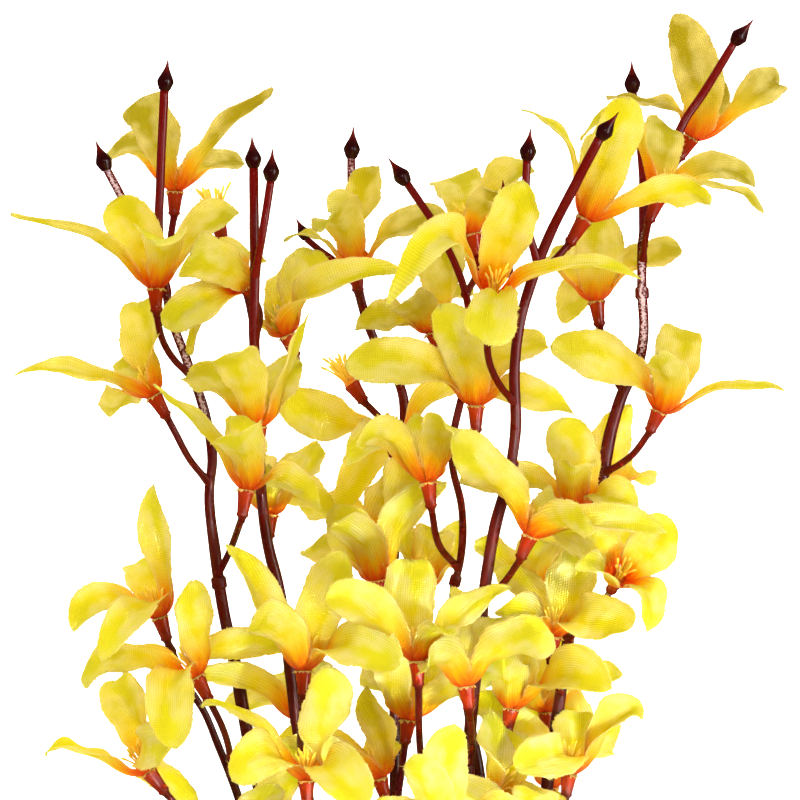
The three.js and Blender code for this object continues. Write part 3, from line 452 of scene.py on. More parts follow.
# painted shade between the threads, where the weave is low
woven = recipe.mix(recipe.math("MULTIPLY", threads["Gap"], 0.6), blotchy, SHADE_BETWEEN_THREADS, "MULTIPLY")
recipe.feed(shader.inputs["Base Color"], woven)
recipe.feed(shader.inputs["Roughness"], recipe.spread(threads["Height"], 0.0, 1.0, 0.7, 0.46))
shader.inputs["Specular IOR Level"].default_value = 0.14
normals = relief(recipe, shader, threads["Height"], 0.7)
sifted = recipe.mix(1.0, woven, SIFTED, "MULTIPLY")
through = recipe.node("ShaderNodeBsdfTranslucent", Color=sifted, Normal=normals)
both_ways = recipe.node("ShaderNodeMixShader", Fac=SHARE_THROUGH)
recipe.feed(both_ways.inputs[1], shader.outputs[0])
recipe.feed(both_ways.inputs[2], through.outputs[0])
recipe.feed(petal_cloth.node_tree.nodes["Material Output"].inputs["Surface"], both_ways.outputs[0])
print("petal cloth nodes:", len(petal_cloth.node_tree.nodes))

# %% [markdown]
# ## Moulded stems
# The stems, twigs, buds and calyx tubes are one shot of glossy plastic, tinted along the way:
# almost black in the old wood, blood red in the young twigs, maroon in the buds and orange-red
# in the tubes under the blooms. Four attributes of the mesh say how much of each a place has:
# three tints, and a painted highlight, a pale broken streak of painted glints along the top of
# three limbs.

# %% Stem and stamen plastic
OLD_WOOD = linear(52, 7, 2)
YOUNG_TWIG = linear(106, 5, 1)
BUD_MAROON = linear(42, 3, 4)
CALYX_RED = linear(156, 40, 3)
# painted highlight: a pale pinkish white streak of glints along the top of three limbs
PAINTED_GLINT = linear(218, 186, 186)
STEM_MOTTLE = (0.7, 0.55, 0.5, 1)
STAMEN_MOTTLE = (0.9, 0.78, 0.5, 1)
STAMEN_PRINT = [(0.0, linear(222, 132, 12)), (0.35, linear(236, 184, 22)), (1.0, linear(242, 216, 62))]


def moulded_finish(name, scale):
    """A finish with the moulded skin on it: (material, recipe, shader, the skin's outputs)."""
    material, recipe, shader = finish(name)
    chart = recipe.node("ShaderNodeTexCoord").outputs["Object"]
    return material, recipe, shader, recipe.effect(skin, chart, Scale=scale)


stem_plastic, recipe, shader, moulded = moulded_finish("stem_plastic", 420.0)
warmth = recipe.attribute("warmth")
wood = recipe.mix(recipe.attribute("youth"), OLD_WOOD, YOUNG_TWIG)
tinted_wood = recipe.mix(warmth, recipe.mix(recipe.attribute("bud"), wood, BUD_MAROON), CALYX_RED)
mottle_share = recipe.spread(moulded["Mottle"], 0.0, 1.0, 0.0, 0.45)
mottled = recipe.mix(mottle_share, tinted_wood, STEM_MOTTLE, "MULTIPLY")
patchy = recipe.spread(moulded["Mottle"], 0.0, 1.0, -0.5, 0.5)
# painted highlight: the glint streak, broken up by the mottle noise
glint_share = recipe.spread(recipe.math("ADD", recipe.attribute("painted_glint"), patchy), 0.5, 0.9)
recipe.feed(shader.inputs["Base Color"], recipe.mix(glint_share, mottled, PAINTED_GLINT))
dulled = recipe.spread(moulded["Dull"], 0.0, 1.0, 0.1, 0.28)
glossy = recipe.math("ADD", dulled, recipe.spread(warmth, 0.0, 1.0, 0.12, 0.0))
roughness = recipe.math("ADD", glossy, recipe.math("MULTIPLY", glint_share, 0.3))
recipe.feed(shader.inputs["Roughness"], roughness)
shader.inputs["IOR"].default_value = 1.32
relief(recipe, shader, moulded["Height"], 0.6)

stamen_plastic, recipe, shader, moulded = moulded_finish("stamen_plastic", 600.0)
tinted_tip = ramp(recipe, recipe.attribute("along"), STAMEN_PRINT)
mottle_share = recipe.spread(moulded["Mottle"], 0.0, 1.0, 0.0, 0.4)
mottled = recipe.mix(mottle_share, tinted_tip, STAMEN_MOTTLE, "MULTIPLY")
recipe.feed(shader.inputs["Base Color"], mottled)
recipe.feed(shader.inputs["Roughness"], recipe.spread(moulded["Dull"], 0.0, 1.0, 0.35, 0.55))
relief(recipe, shader, moulded["Height"], 0.3)
print("stem and stamen nodes:", [len(m.node_tree.nodes) for m in (stem_plastic, stamen_plastic)])


# %% [markdown]
# ## Parts of a mesh
# A part is a dict: its points in millimetres, its faces, and values at its points, such as the
# share along a petal. Parts are gathered into one piece, and a piece becomes one mesh object
# that sits at the origin with its place in its points.

# %% Gather parts and make pieces
def marked(part, **values):
    """A part with values at its points, each one number or one for each point."""
    for name, value in values.items():
        part[name] = np.broadcast_to(value, len(part["points"])).astype(float)
    return part


def gather(parts):
    """All parts as one: points and values end to end, and faces counted on by what came before."""
    starts = np.cumsum([0] + [len(part["points"]) for part in parts])
    whole = {"faces": [face + start for part, start in zip(parts, starts) for face in part["faces"]]}
    for name in parts[0]:
        if name != "faces":
            whole[name] = np.concatenate([part[name] for part in parts])
    return whole


def make_piece(name, part, material, map_name=None):
    """One mesh object from a part. Each entry of faces is an array of triangles or of quads."""
    mesh = bpy.data.meshes.new(name)
    faces = [row for block in part["faces"] for row in block.tolist()]
    mesh.from_pydata((part["points"] * MM).tolist(), [], faces)
    if map_name:
        corner_points = np.concatenate([block.ravel() for block in part["faces"]])
        layer = mesh.uv_layers.new(name=map_name)
        layer.data.foreach_set("uv", part["map"][corner_points].astype(np.float32).ravel())
    for value in sorted(part.keys() - {"points", "faces", "map"}):
        layer = mesh.attributes.new(value, "FLOAT", "POINT")
        layer.data.foreach_set("value", part[value].astype(np.float32))
    mesh.polygons.foreach_set("use_smooth", np.ones(len(mesh.polygons), bool))
    mesh.materials.append(material)
    made = added(name, mesh)
    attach(made, "root")
    return made


# %% [markdown]
# ## Tubes along a path
# A stem, a stamen and a bud are all the same idea: a round profile carried along a path. The
# path is a smooth curve through its given points, and at each step a ring is drawn square to it.

# %% Smooth paths and tubes
def running_lengths(points):
    """How far along a chain of straight lines each of its points is."""
    return np.concatenate([[0], np.cumsum(np.linalg.norm(np.diff(points, axis=0), axis=1))])


def path_length(points):
    """The length of a chain of straight lines."""
    return np.linalg.norm(np.diff(points, axis=0), axis=1).sum()


def smooth_path(points, steps):
    """Hermite curve through points: each slope is that between the two neighbours.

    steps are lengths along the path, in millimetres from its first point."""
    lengths = running_lengths(points)
    slopes = np.gradient(points, lengths, axis=0)
    i = np.clip(np.searchsorted(lengths, steps, side="right") - 1, 0, len(points) - 2)
    span = (lengths[i + 1] - lengths[i])[:, None]
    t = (steps - lengths[i])[:, None] / span
    return (
        (2 * t**3 - 3 * t**2 + 1) * points[i]
        + (t**3 - 2 * t**2 + t) * span * slopes[i]
        + (3 * t**2 - 2 * t**3) * points[i + 1]
        + (t**3 - t**2) * span * slopes[i + 1]
    )


def tube(path, radii, sides, ripple=0.0, ridges=1):
    """Rings round a path, closed by a point at each end.

    A ring's point is path + radius * (cos turn * across + sin turn * second), where across is
    level and square to the path. ripple raises sharp lines along it: two for each of ridges."""
    ahead = unit(np.gradient(path, axis=0))
    across = unit(np.cross(ahead, UP))
    second = np.cross(ahead, across)
    turn = even_turns(sides)
    seam = 1 + ripple * np.abs(np.cos(turn * ridges)) ** (12 / ridges)
    reach = radii[:, None, None] * seam[None, :, None]
    ring = np.cos(turn)[:, None] * across[:, None] + np.sin(turn)[:, None] * second[:, None]
    points = np.concatenate([(path[:, None] + reach * ring).reshape(-1, 3), path[[0, -1]]])
    count = len(path) * sides
    rim = np.arange(sides)
    after = (rim + 1) % sides
    rows = np.arange(len(path) - 1)[:, None] * sides
    a, b = (rows + rim).ravel(), (rows + after).ravel()
    walls = np.stack([a, b, b + sides, a + sides], axis=1)
    last = count - sides
    first_cap = np.stack([after, rim, np.full(sides, count)], axis=1)
    last_cap = np.stack([rim + last, after + last, np.full(sides, count + 1)], axis=1)
    return {"points": points, "faces": [walls, first_cap, last_cap]}


def along_tube(values, sides):
    """A value for each ring of a tube, repeated for the ring's points and its two end points."""
    return np.concatenate([np.repeat(values, sides), values[[0, -1]]])


# %% [markdown]
# ## Stems
# Each stem is written from its tip down: what it grows from, its route, its heights above the
# table and its radii. Collars are the thick rings where two mouldings plug together.

# %% The stems' layout
SMALL_BUD = 0.75

STEMS = {
    "main_stem": {
        "route": [[404, 1155], [404, 1220], [403, 1300], [401, 1400], [400, 1490], [400, 1700]],
        "heights": [[1155, 22.5], [1220, 17], [1300, 11], [1400, 5], [1490, 2.6], [1700, 2.6]],
        "girth": [[1155, 2.6], [1300, 3], [1490, 3.2], [1700, 3.2]],
        "collars": [1240],
    },
    "limb_3": {
        "parent": "main_stem",
        "bud": [353, 131],
        "route": [[351, 157], [352, 217], [358, 285], [364, 312], [377, 345], [392, 368], [403, 396],
            [404, 428], [397, 470], [394, 530], [394, 620], [395, 720], [396, 800], [398, 900],
            [401, 1000], [403, 1090], [404, 1160]],
        "heights": [[157, 42], [217, 42], [312, 38], [380, 36], [480, 34], [600, 32], [800, 30],
            [900, 30], [1000, 29], [1090, 26.5], [1160, 22]],
        "girth": [[157, 1.05], [345, 1.2], [600, 1.5], [800, 1.6], [1160, 2.2]],
        "collars": [518],
        "twigs": [{
            "bud": [296, 218], "scale": SMALL_BUD, "radius": 0.85, "height": 36,
            "route": [[306, 238], [319, 249], [334, 260], [357, 288]],
        }],
    },
    "limb_1": {
        "parent": "main_stem",
        "bud": [95, 141],
        "route": [[106, 169], [124, 203], [140, 240], [155, 268], [165, 290], [170, 315], [187, 362],
            [205, 415], [212, 460], [209, 490], [215, 555], [222, 605], [236, 672], [246, 730],
            [262, 800], [275, 850], [292, 905], [315, 970], [340, 1040], [364, 1118], [404, 1190]],
        "heights": [[169, 44], [203, 45], [290, 48], [400, 50], [600, 48], [800, 45], [905, 40],
            [1040, 30], [1190, 19]],
        "girth": [[169, 1.05], [290, 1.15], [500, 1.35], [620, 1.6], [900, 1.9], [1190, 2.2]],
        "collars": [583],
        "twigs": [{
            "bud": [168, 56], "scale": 1, "radius": 1.15, "height": 50,
            "route": [[164, 90], [160, 180], [159, 240], [166, 294]],
        }],
    },
    "limb_7": {
        "parent": "main_stem",
        "bud": [759, 13],
        "route": [[736, 41], [705, 92], [685, 122], [673, 153], [655, 190], [644, 232], [642, 285],
            [643, 340], [638, 364], [624, 390], [611, 430], [601, 480], [592, 508], [580, 530],
            [579, 580], [568, 640], [558, 712], [545, 800], [535, 860], [518, 930], [495, 1000],
            [465, 1080], [436, 1150], [403, 1226]],
        "heights": [[41, 34], [92, 31], [153, 32], [190, 40], [232, 49], [300, 54], [400, 58],
            [580, 59], [712, 55], [800, 50], [930, 41], [1080, 28], [1226, 16.5]],
        "girth": [[41, 1.05], [153, 1.2], [285, 1.25], [400, 1.5], [480, 1.85], [530, 1.5], [800, 1.65],
            [1226, 2.3]],
        "collars": [293],
        "twigs": [{
            "bud": [635, 56], "scale": 1, "radius": 1.05, "height": 12,
            "route": [[636, 88], [640, 110], [646, 170], [643, 246]],
        }],
    },
    "limb_5": {
        "parent": "limb_3",
        "bud": [618, 113],
        "route": [[596, 143], [573, 187], [548, 236], [529, 285], [518, 325], [513, 370], [514, 430],
            [508, 472], [494, 525], [485, 578], [478, 640], [473, 690], [469, 735], [467, 800],
            [466, 850], [458, 915], [446, 980], [428, 1050], [404, 1120]],
        "heights": [[143, 108], [187, 105], [262, 99], [400, 96], [480, 94], [600, 88], [700, 82],
            [800, 75], [850, 70], [915, 61], [980, 50], [1050, 37], [1120, 24.5]],
        "girth": [[143, 1.2], [262, 1.35], [400, 1.4], [600, 1.6], [800, 1.65], [1120, 2]],
        "collars": [465],
        "twigs": [{
            "bud": [529, 131], "scale": 1, "radius": 1.05, "height": 101,
            "route": [[525, 164], [524, 200], [528, 240], [537, 266]],
        }, {
            "bud": [502, 186], "scale": SMALL_BUD, "radius": 0.75, "height": 86,
            "route": [[504, 206], [508, 260], [513, 342]],
        }],
    },
    "limb_2": {
        "parent": "limb_3",
        "bud": [253.5, 143],
        "route": [[255, 170], [255.5, 235], [256, 275], [255, 330], [259, 400], [262, 490], [268, 540],
            [281, 595], [290, 665], [298, 728], [308, 800], [322, 860], [340, 930], [361, 1000],
            [403, 1076]],
        "heights": [[170, 82], [260, 80], [330, 78], [450, 76], [560, 71], [700, 64], [800, 59],
            [860, 55], [930, 48], [1000, 39], [1076, 27]],
        "girth": [[170, 1.15], [275, 1.3], [490, 1.45], [800, 1.6], [1076, 1.9]],
        "collars": [640],
        "twigs": [{
            "bud": [273.5, 158], "scale": 1, "radius": 1.05, "height": 85,
            "route": [[272, 183], [268, 210], [263, 240], [256, 278]],
        }],
    },
    "limb_4": {
        "parent": "limb_7",
        "bud": [388, 158],
        "route": [[407, 184], [420, 203], [434, 224], [448, 250], [464, 290], [470, 345], [462, 392],
            [452, 440], [452, 465], [461, 505], [460, 560], [453, 590], [458, 640], [468, 710],
            [480, 775], [486, 830], [492, 890], [496, 940], [498, 992]],
        "heights": [[184, 62], [224, 66], [300, 75], [390, 88], [430, 90], [560, 72], [640, 62],
            [800, 50], [890, 43], [940, 40], [992, 35.5]],
        "girth": [[184, 1], [290, 0.95], [560, 1], [800, 1.35], [992, 1.5]],
        "collars": [580],
        "twigs": [],
    },
    "limb_0": {
        "parent": "limb_1",
        "route": [[170, 645], [186, 682], [205, 713], [218, 745], [232, 780], [250, 830], [286, 887]],
        "heights": [[645, 62], [713, 57], [780, 53], [830, 48], [887, 41]],
        "girth": [[645, 0.9], [745, 1], [887, 1.3]],
        "twigs": [],
    },
}

# %% [markdown]
# ## Blooms on the sheet
# Each bloom is written in one row: its stem, the floor of its cup, the foot of its calyx tube,
# the way its stalk takes down to the stem, and its petals' tips as [across, down, lift, form,
# bow]. Lift is +1 for a petal that rises and -1 for one that hangs below its cup. Form is w
# wide, s wide with a square tip, n narrow, a arched over and r resting on the table. Bow is how
# high its back bows, as a share of its length. TURNED_UP lists the few tubes that point up from
# the table, by how far in millimetres.

# %% The blooms' layout
BLOOMS = {
    "a1": ["limb_1", [173, 191, 28], [172, 214], [[170, 228], [166, 262], [164, 286]],
        [[138, 98, 0, "s"], [104, 150, -1, "r", 0.25], [271, 91, 0.6, "n"], [241, 156, -1]]],
    "a2": ["limb_1", [156, 290, 62], [157, 313], [[162, 338], [176, 362], [191, 376]],
        [[30, 202, 0, "n"], [112, 205, 0.1, "w", 0.15], [236, 214, -0.2, "a"], [161, 235, 1, "s"]]],
    "a3": ["limb_1", [155, 397, 58], [167, 417], [[174, 430], [190, 460], [210, 484]],
        [[19, 366, 0, "n"], [134, 296, -0.6, "w"], [104, 400, -1], [119, 364, -0.4, "n"]]],
    "a4": ["limb_2", [217, 221, 36], [223, 246], [[243, 285], [252, 318], [257, 352]], []],
    "a5": ["limb_2", [243, 286, 70], [253, 295], [[260, 312], [256, 342]],
        [[192, 256, 0.5, "s"], [168, 326, -0.2], [187, 352, -0.8, "n"], [262, 256, -0.6]]],
    "b1": ["limb_2", [260, 428, 86], [261, 450], [[262, 466], [262, 492]],
        [[234, 355, 0.8, "s"], [308, 318, 0, "n"], [275, 350, -1], [190, 372, -1]]],
    "b2": ["limb_1", [248, 490, 93], [244, 516], [[233, 545], [219, 575]],
        [[161, 390, 0, "n"], [235, 416, -0.5], [243, 434, 0.9, "s"], [318, 500, -0.6]]],
    "b3": ["limb_2", [270, 516, 58], [269, 538], [[270, 552], [277, 578]],
        [[318, 447, 0], [332, 512, -1], [235, 455, -1], [270, 470, 1]]],
    "c0": ["limb_2", [288, 337, 65], [296, 357], [[292, 368], [280, 392], [260, 425]],
        [[262, 272, -1, "n"], [312, 249, -0.4, "w"], [395, 266, 1], [262, 322, -0.5, "n"]]],
    "c1": ["limb_3", [356, 268, 50], [358, 292], [[360, 302], [366, 318]],
        [[372, 167, -0.2], [336, 215, 0.9, "s", 0.15], [442, 210, 0], [284, 233, 0, "n", 0.2]]],
    "d1": ["limb_4", [473, 235, 60], [477, 256], [[477, 270], [464, 296]],
        [[445, 178, -0.3, "s"], [532, 169, 0, "a"], [510, 196, 0.8], [436, 226, 0.2, "n"]]],
    "e": ["limb_5", [490, 300, 118], [486, 322], [[487, 360], [500, 388], [513, 403]],
        [[518, 190, 1, "w"], [394, 300, 1, "a", 0.75], [486, 336, 1, "s"], [632, 272, 1, "n", 0.12]]],
    "d0": ["limb_4", [434, 334, 66], [440, 356], [[446, 374], [461, 396]],
        [[357, 322, 0], [430, 238, -0.3, "w"], [470, 288, -1], [404, 296, 0.6]]],
    "g": ["limb_4", [475, 407, 92], [475, 432], [[471, 446], [452, 462]],
        [[350, 366, 0, "w"], [442, 308, 0, "w"], [546, 338, -1], [570, 412, -1]]],
    "f": ["limb_5", [582, 222, 90], [567, 246], [[552, 262], [534, 274]],
        [[524, 118, 0, "n", 0.3], [626, 104, 0.8, "w"], [708, 203, 1, "a"], [600, 130, -1]]],
    "k1": ["limb_7", [657, 200, 62], [648, 222], [[645, 238], [642, 262]],
        [[583, 136, 0.6, "n", 0.6], [752, 184, 0, "a", 0.3], [762, 206, 0.4, "n", 0.15], [660, 120, -1]]],
    "m0": ["limb_7", [694, 136, 20], [682, 156], [[674, 168], [664, 174]],
        [[681, 12, 0, "w"], [782, 83, -1, "r", 0.45], [612, 99, 0, "n", 0.15], [722, 70, -1, "n"]]],
    "j": ["limb_7", [597, 302, 50], [600, 326], [[603, 342], [611, 372], [624, 391]],
        [[600, 212, 0, "w"], [680, 241, -1], [545, 250, -1], [568, 312, -1]]],
    "k2": ["limb_7", [657, 413, 72], [648, 432], [[632, 454], [618, 465], [604, 474]],
        [[554, 347, 1, "w"], [682, 326, -1, "w"], [655, 360, 1], [778, 391, 0, "n", 0.15]]],
    "n": ["limb_7", [604, 496, 37], [600, 518], [[594, 534], [580, 556]],
        [[628, 406, 0], [638, 470, -1], [585, 460, -1], [560, 520, -1]]],
    "p": ["limb_7", [577, 508, 76], [579, 530], [[579, 546], [579, 572]],
        [[560, 420, 0, "w"], [485, 435, -1], [570, 465, 1], [632, 500, 0.3]]],
    "h": ["limb_5", [527, 535, 112], [518, 556], [[506, 575], [484, 600]],
        [[457, 438, 1, "w"], [582, 520, 1], [560, 500, -1]]],
    "l": ["limb_7", [614, 577, 100], [608, 588], [[598, 604], [584, 622], [569, 640]],
        [[580, 508, 0.6, "a"], [664, 518, 0.5, "w"], [646, 628, 0.4, "n", 0.5], [578, 560, 1, "n"]]],
    "s": ["limb_3", [393, 445, 48], [396, 462], [[398, 474], [395, 498]],
        [[279, 402, 0, "w"], [350, 460, 0.5], [335, 520, -1]]],
    "u": ["limb_3", [352, 385, 38], [364, 402], [[378, 416], [401, 442]], []],
    "d2": ["limb_4", [428, 483, 90], [431, 507], [[438, 542], [459, 568]],
        [[362, 442, 1, "a"], [412, 417, 0], [447, 420, 1, "w"], [395, 520, -1]]],
    "v1": ["limb_3", [376, 540, 26], [383, 560], [[388, 572], [394, 590]],
        [[425, 480, -1], [340, 560, 0]]],
    "v2": ["limb_3", [422, 588, 38], [416, 610], [[408, 628], [395, 652]],
        [[458, 520, 0], [388, 525, 0], [445, 560, -1]]],
    "r": ["limb_3", [378, 582, 58], [382, 604], [[386, 630], [392, 668], [395, 700]],
        [[335, 508, 0, "w"], [302, 549, -1]]],
    "q1": ["limb_2", [305, 668, 102], [305, 691], [[303, 712], [301, 740], [304, 775]],
        [[232, 545, 1], [258, 614, 1, "w"], [345, 552, 0, "w"], [400, 660, 1, "w"]]],
    "w": ["limb_5", [417, 657, 118], [418, 681], [[420, 745], [430, 800], [465, 866]],
        [[325, 598, 1, "w"], [412, 556, -0.4, "w"], [503, 579, 0], [452, 622, 1, "n"]]],
    "o1": ["limb_0", [161, 618, 64], [168, 640], [[170, 646], [173, 652]],
        [[147, 488, 0], [128, 560, -1], [78, 628, 1, "a", 0.35], [108, 650, 1]]],
    "o2": ["limb_0", [199, 676, 78], [211, 699], [[222, 722], [229, 745], [230, 776]],
        [[197, 582, 0.5], [83, 678, 0, "a"], [180, 742, 1, "w"], [290, 640, -1]]],
    "o3": ["limb_0", [150, 772, 62], [166, 792], [[184, 812], [212, 832], [258, 843]],
        [[112, 682, -1, "w"], [45, 747, 0, "n", 0.2], [176, 736, 1, "s"], [192, 800, -0.6, "n"]]],
    "x": ["limb_2", [308, 775, 112], [309, 798], [[311, 822], [318, 856], [333, 902]],
        [[208, 694, 0, "n", 0.2], [335, 668, 0.4, "w"], [366, 792, 1, "w"], [240, 768, 1, "w"]]],
    "y": ["limb_3", [408, 720, 70], [405, 742], [[402, 768], [396, 812]],
        [[397, 640, 0], [362, 690, -1], [430, 650, -1]]],
    "mm": ["limb_3", [380, 780, 55], [386, 800], [[391, 818], [397, 852]],
        [[362, 690, 0], [400, 745, -1]]],
    "z": ["limb_5", [448, 830, 120], [451, 853], [[455, 880], [452, 942]],
        [[452, 720, 0, "w"], [412, 745, 1], [530, 800, 0.6], [366, 806, -0.3]]],
    "aa": ["limb_5", [465, 683, 106], [468, 705], [[470, 722], [468, 762]],
        [[543, 630, 1, "w"], [421, 665, 1], [455, 610, 0]]],
    "bb": ["limb_4", [510, 708, 76], [506, 731], [[504, 760], [498, 786], [487, 822]],
        [[603, 680, 1, "w"], [500, 655, 0.4], [534, 640, -1]]],
    "cc": ["limb_7", [547, 715, 43], [549, 737], [[550, 748], [549, 776]],
        [[620, 672, 0], [562, 640, -0.3], [500, 690, 0], [590, 760, -0.5]]],
    "dd": ["limb_7", [552, 636, 80], [549, 658], [[552, 672], [562, 694]],
        [[619, 600, 0.6, "w"], [575, 548, -0.6, "w"], [530, 556, -0.3], [496, 612, 0]]],
    "ee": ["limb_7", [538, 598, 46], [540, 620], [[546, 640], [565, 666]],
        [[476, 545, 0], [590, 540, -1], [545, 535, 1]]],
    "ff": ["limb_7", [568, 773, 72], [565, 795], [[560, 814], [540, 848]],
        [[643, 712, 0, "a", 0.35], [518, 764, 1, "w"], [575, 712, -1]]],
    "gg": ["limb_7", [552, 792, 34], [552, 814], [[548, 834], [534, 868]],
        [[528, 710, 0], [600, 740, -1]]],
    "hh": ["limb_7", [530, 850, 92], [526, 873], [[522, 894], [513, 946]],
        [[540, 778, 1, "w"]]],
    "ii": ["limb_5", [489, 794, 91], [481, 813], [[478, 832], [464, 872]],
        [[530, 738, 0.2], [478, 712, 0.4], [560, 812, 0.4], [430, 850, 0.3]]],
    "ll": ["limb_2", [298, 722, 46], [301, 744], [[304, 756], [307, 792]],
        [[230, 705, -1], [278, 672, -1]]],
    "n1": ["limb_1", [246, 862, 62], [256, 884], [[266, 898], [294, 912]], []],
    "n2": ["limb_2", [352, 888, 84], [350, 911], [[348, 928], [352, 968]], []],
    "n3": ["limb_5", [430, 930, 78], [434, 952], [[440, 968], [438, 1012]],
        [[345, 880, 0], [400, 830, 0.5], [420, 1000, 0.6], [360, 960, -0.5]]],
    "n4": ["limb_7", [556, 916, 66], [546, 936], [[534, 948], [510, 958]], []],
}

BARE_BLOOMS = ["a4", "u"]
TURNED_UP = {"a5": 4, "e": 3, "l": 5}


# %% Where each bloom stands
def cup_frame(name):
    """The floor of the cup, the calyx's foot, and the axis from foot to floor."""
    _, cup, foot, _, _ = BLOOMS[name]
    floor = place(cup[:2], cup[2])
    calyx_foot = place(foot, cup[2] - TURNED_UP.get(name, 0))
    return floor, calyx_foot, unit(floor - calyx_foot)


FRAMES = {name: cup_frame(name) for name in BLOOMS}
print("blooms:", len(FRAMES), "on", len(STEMS), "stems")

# %% [markdown]
# ## Making the stems
# A stem's rings are close together at a collar and at each end, and loose between. Where a
# stalk or a twig leaves a stem, it swells into a small knuckle. Tables below give a tint or a
# thickness by how far down the sheet, or how far along the part, it applies.

# %% Stem measures
STEM_SIDES = 14
TWIG_SIDES = 12
STEM_STEP = 1.8
TWIG_STEP = 1.4
SEAM = 0.05
WAVERS = [(0.025, 5.3), (0.02, 2.1)]
COLLAR_RISE = 0.5
COLLAR_EDGES = np.array([-1.7, -1.3, 1.3, 1.7])
COLLAR_SHAPE = [0, 1, 1, 0]
KNUCKLE = [(0.0, 1.0), (0.8, 1.0), (2.4, 0.6), (4.0, 0.0)]
KNUCKLE_RINGS = np.array([0, 0.8, 2.4, 3.2])
TWIG_KNUCKLE, STALK_KNUCKLE = 1.25, 1.35
BUD_LENGTH = 8.6
BUD_SHARES = [-0.03, 0.0, 0.04, 0.1, 0.17, 0.24, 0.3, 0.36, 0.44, 0.54, 0.64, 0.74, 0.86, 1.0]
BUD_RADII = [0.9, 1.2, 1.45, 1.62, 1.84, 2.02, 2.06, 1.9, 1.6, 1.2, 0.82, 0.5, 0.3, 0.1]
BUD_RIDGES = 0.1
SPIKE_RED = [(0.5, 0.0), (0.72, 0.6), (0.9, 1.0)]
STEM_YOUTH = [(60, 1.0), (430, 0.45), (800, 0.12), (1500, 0.0)]
STALK_YOUTH = [(100, 0.8), (450, 0.45), (900, 0.2)]
TWIG_YOUTH = 0.9
# painted highlight on top of the stems: it starts 0.6 of the radius above the axis and is full by 0.95,
# at the strength given down the sheet for each limb
PAINTED_GLINT_SPAN = (0.6, 0.35)
NO_PAINTED_GLINT = [(0, 0)]
PAINTED_GLINTS = {
    "limb_1": [(150, 0.9), (235, 0.8), (260, 0), (290, 0), (310, 0.8), (410, 0.8), (430, 0)],
    "limb_3": [(150, 0.7), (215, 0.7), (235, 0)],
    "limb_7": [(220, 0), (240, 0.8), (350, 0.8), (370, 0)],
}


# %% Stem routes
def nearest_on(path, target):
    """The point of a chain of lines that is nearest to a target, seen from above."""
    line = np.diff(path, axis=0)
    gap = target - path[:-1]
    flat = (line[:, :2] ** 2).sum(axis=1)
    share = np.clip((gap[:, :2] * line[:, :2]).sum(axis=1) / flat, 0, 1)
    points = path[:-1] + line * share[:, None]
    return points[np.argmin(np.linalg.norm((points - target)[:, :2], axis=1))]


def stem_path(name):
    """The points of a stem's route, from its tip down, in millimetres."""
    stem = STEMS[name]
    downs = [down for _, down in stem["route"]]
    path = place(stem["route"], profile(stem["heights"], downs))
    if "parent" in stem:
        path[-1] = nearest_on(stem_path(stem["parent"]), path[-1])
    return path


def tinted(part, sides, **tints):
    """A tube with its three tints and its painted glint, each one number or one for each ring."""
    rings = (len(part["points"]) - 2) // sides
    for name in ("youth", "bud", "warmth", "painted_glint"):
        part[name] = along_tube(np.broadcast_to(tints.get(name, 0.0), rings).astype(float), sides)
    return part


# %% Stems, twigs and buds
def rising(at, start, reach):
    """0 up to the start, 1 from start + reach on, and a straight line between."""
    return np.clip((at - start) / reach, 0, 1)


def main_tube(name):
    """The stem itself: its radii follow the layout, and a collar lifts them for 2.6 mm."""
    stem, path = STEMS[name], stem_path(name)
    length = path_length(path)
    collar_downs = np.array(stem.get("collars", []), float)
    collars = np.interp((collar_downs - SHEET_FOOT) * SHEET_UNIT, -path[:, 1], running_lengths(path))
    steps = [np.arange(0, length, STEM_STEP), [length], *(COLLAR_EDGES + at for at in collars)]
    rings = np.unique(np.concatenate(steps))
    spine = smooth_path(path, rings)
    downs = SHEET_FOOT - spine[:, 1] / SHEET_UNIT
    radii = profile(stem["girth"], downs)
    for at in collars:
        radii = radii + COLLAR_RISE * np.interp(rings - at, COLLAR_EDGES, COLLAR_SHAPE)
    radii = radii * sum((share * np.sin(rings / run) for share, run in WAVERS), 1)
    part = tinted(tube(spine, radii, STEM_SIDES, SEAM), STEM_SIDES, youth=profile(STEM_YOUTH, downs))
    # painted highlight: a pale streak of glints along the upper side of the tube
    upward = part["points"][:-2, 2].reshape(-1, STEM_SIDES) - spine[:, 2:]
    on_top = rising(upward / radii[:, None], *PAINTED_GLINT_SPAN)
    painted_glint = profile(PAINTED_GLINTS.get(name, NO_PAINTED_GLINT), downs)
    part["painted_glint"][:-2] = (painted_glint[:, None] * on_top).ravel()
    return part


def bud_part(foot, point, scale):
    """A pointed bud: rings widest at a quarter of its length, with a thin spike."""
    shares = np.array(BUD_SHARES)
    spine = foot + unit(point - foot) * (shares * BUD_LENGTH * scale)[:, None]
    spike = profile(SPIKE_RED, shares)
    part = tube(spine, np.array(BUD_RADII) * scale, TWIG_SIDES, BUD_RIDGES, 2)
    return tinted(part, TWIG_SIDES, youth=1.0, bud=1 - 0.8 * spike, warmth=0.2 * spike)


def stalk(points, radius, youth, swelling):
    """A thin round stalk that swells into a knuckle where it meets its stem."""
    length = path_length(points)
    rings = np.unique(np.concatenate([np.arange(0, length, TWIG_STEP), length - KNUCKLE_RINGS]))
    rings = rings[rings >= 0]
    spine = smooth_path(points, rings)
    radii = radius + (radius * swelling - radius) * profile(KNUCKLE, length - rings)
    return tinted(tube(spine, radii, TWIG_SIDES, SEAM), TWIG_SIDES, youth=youth)


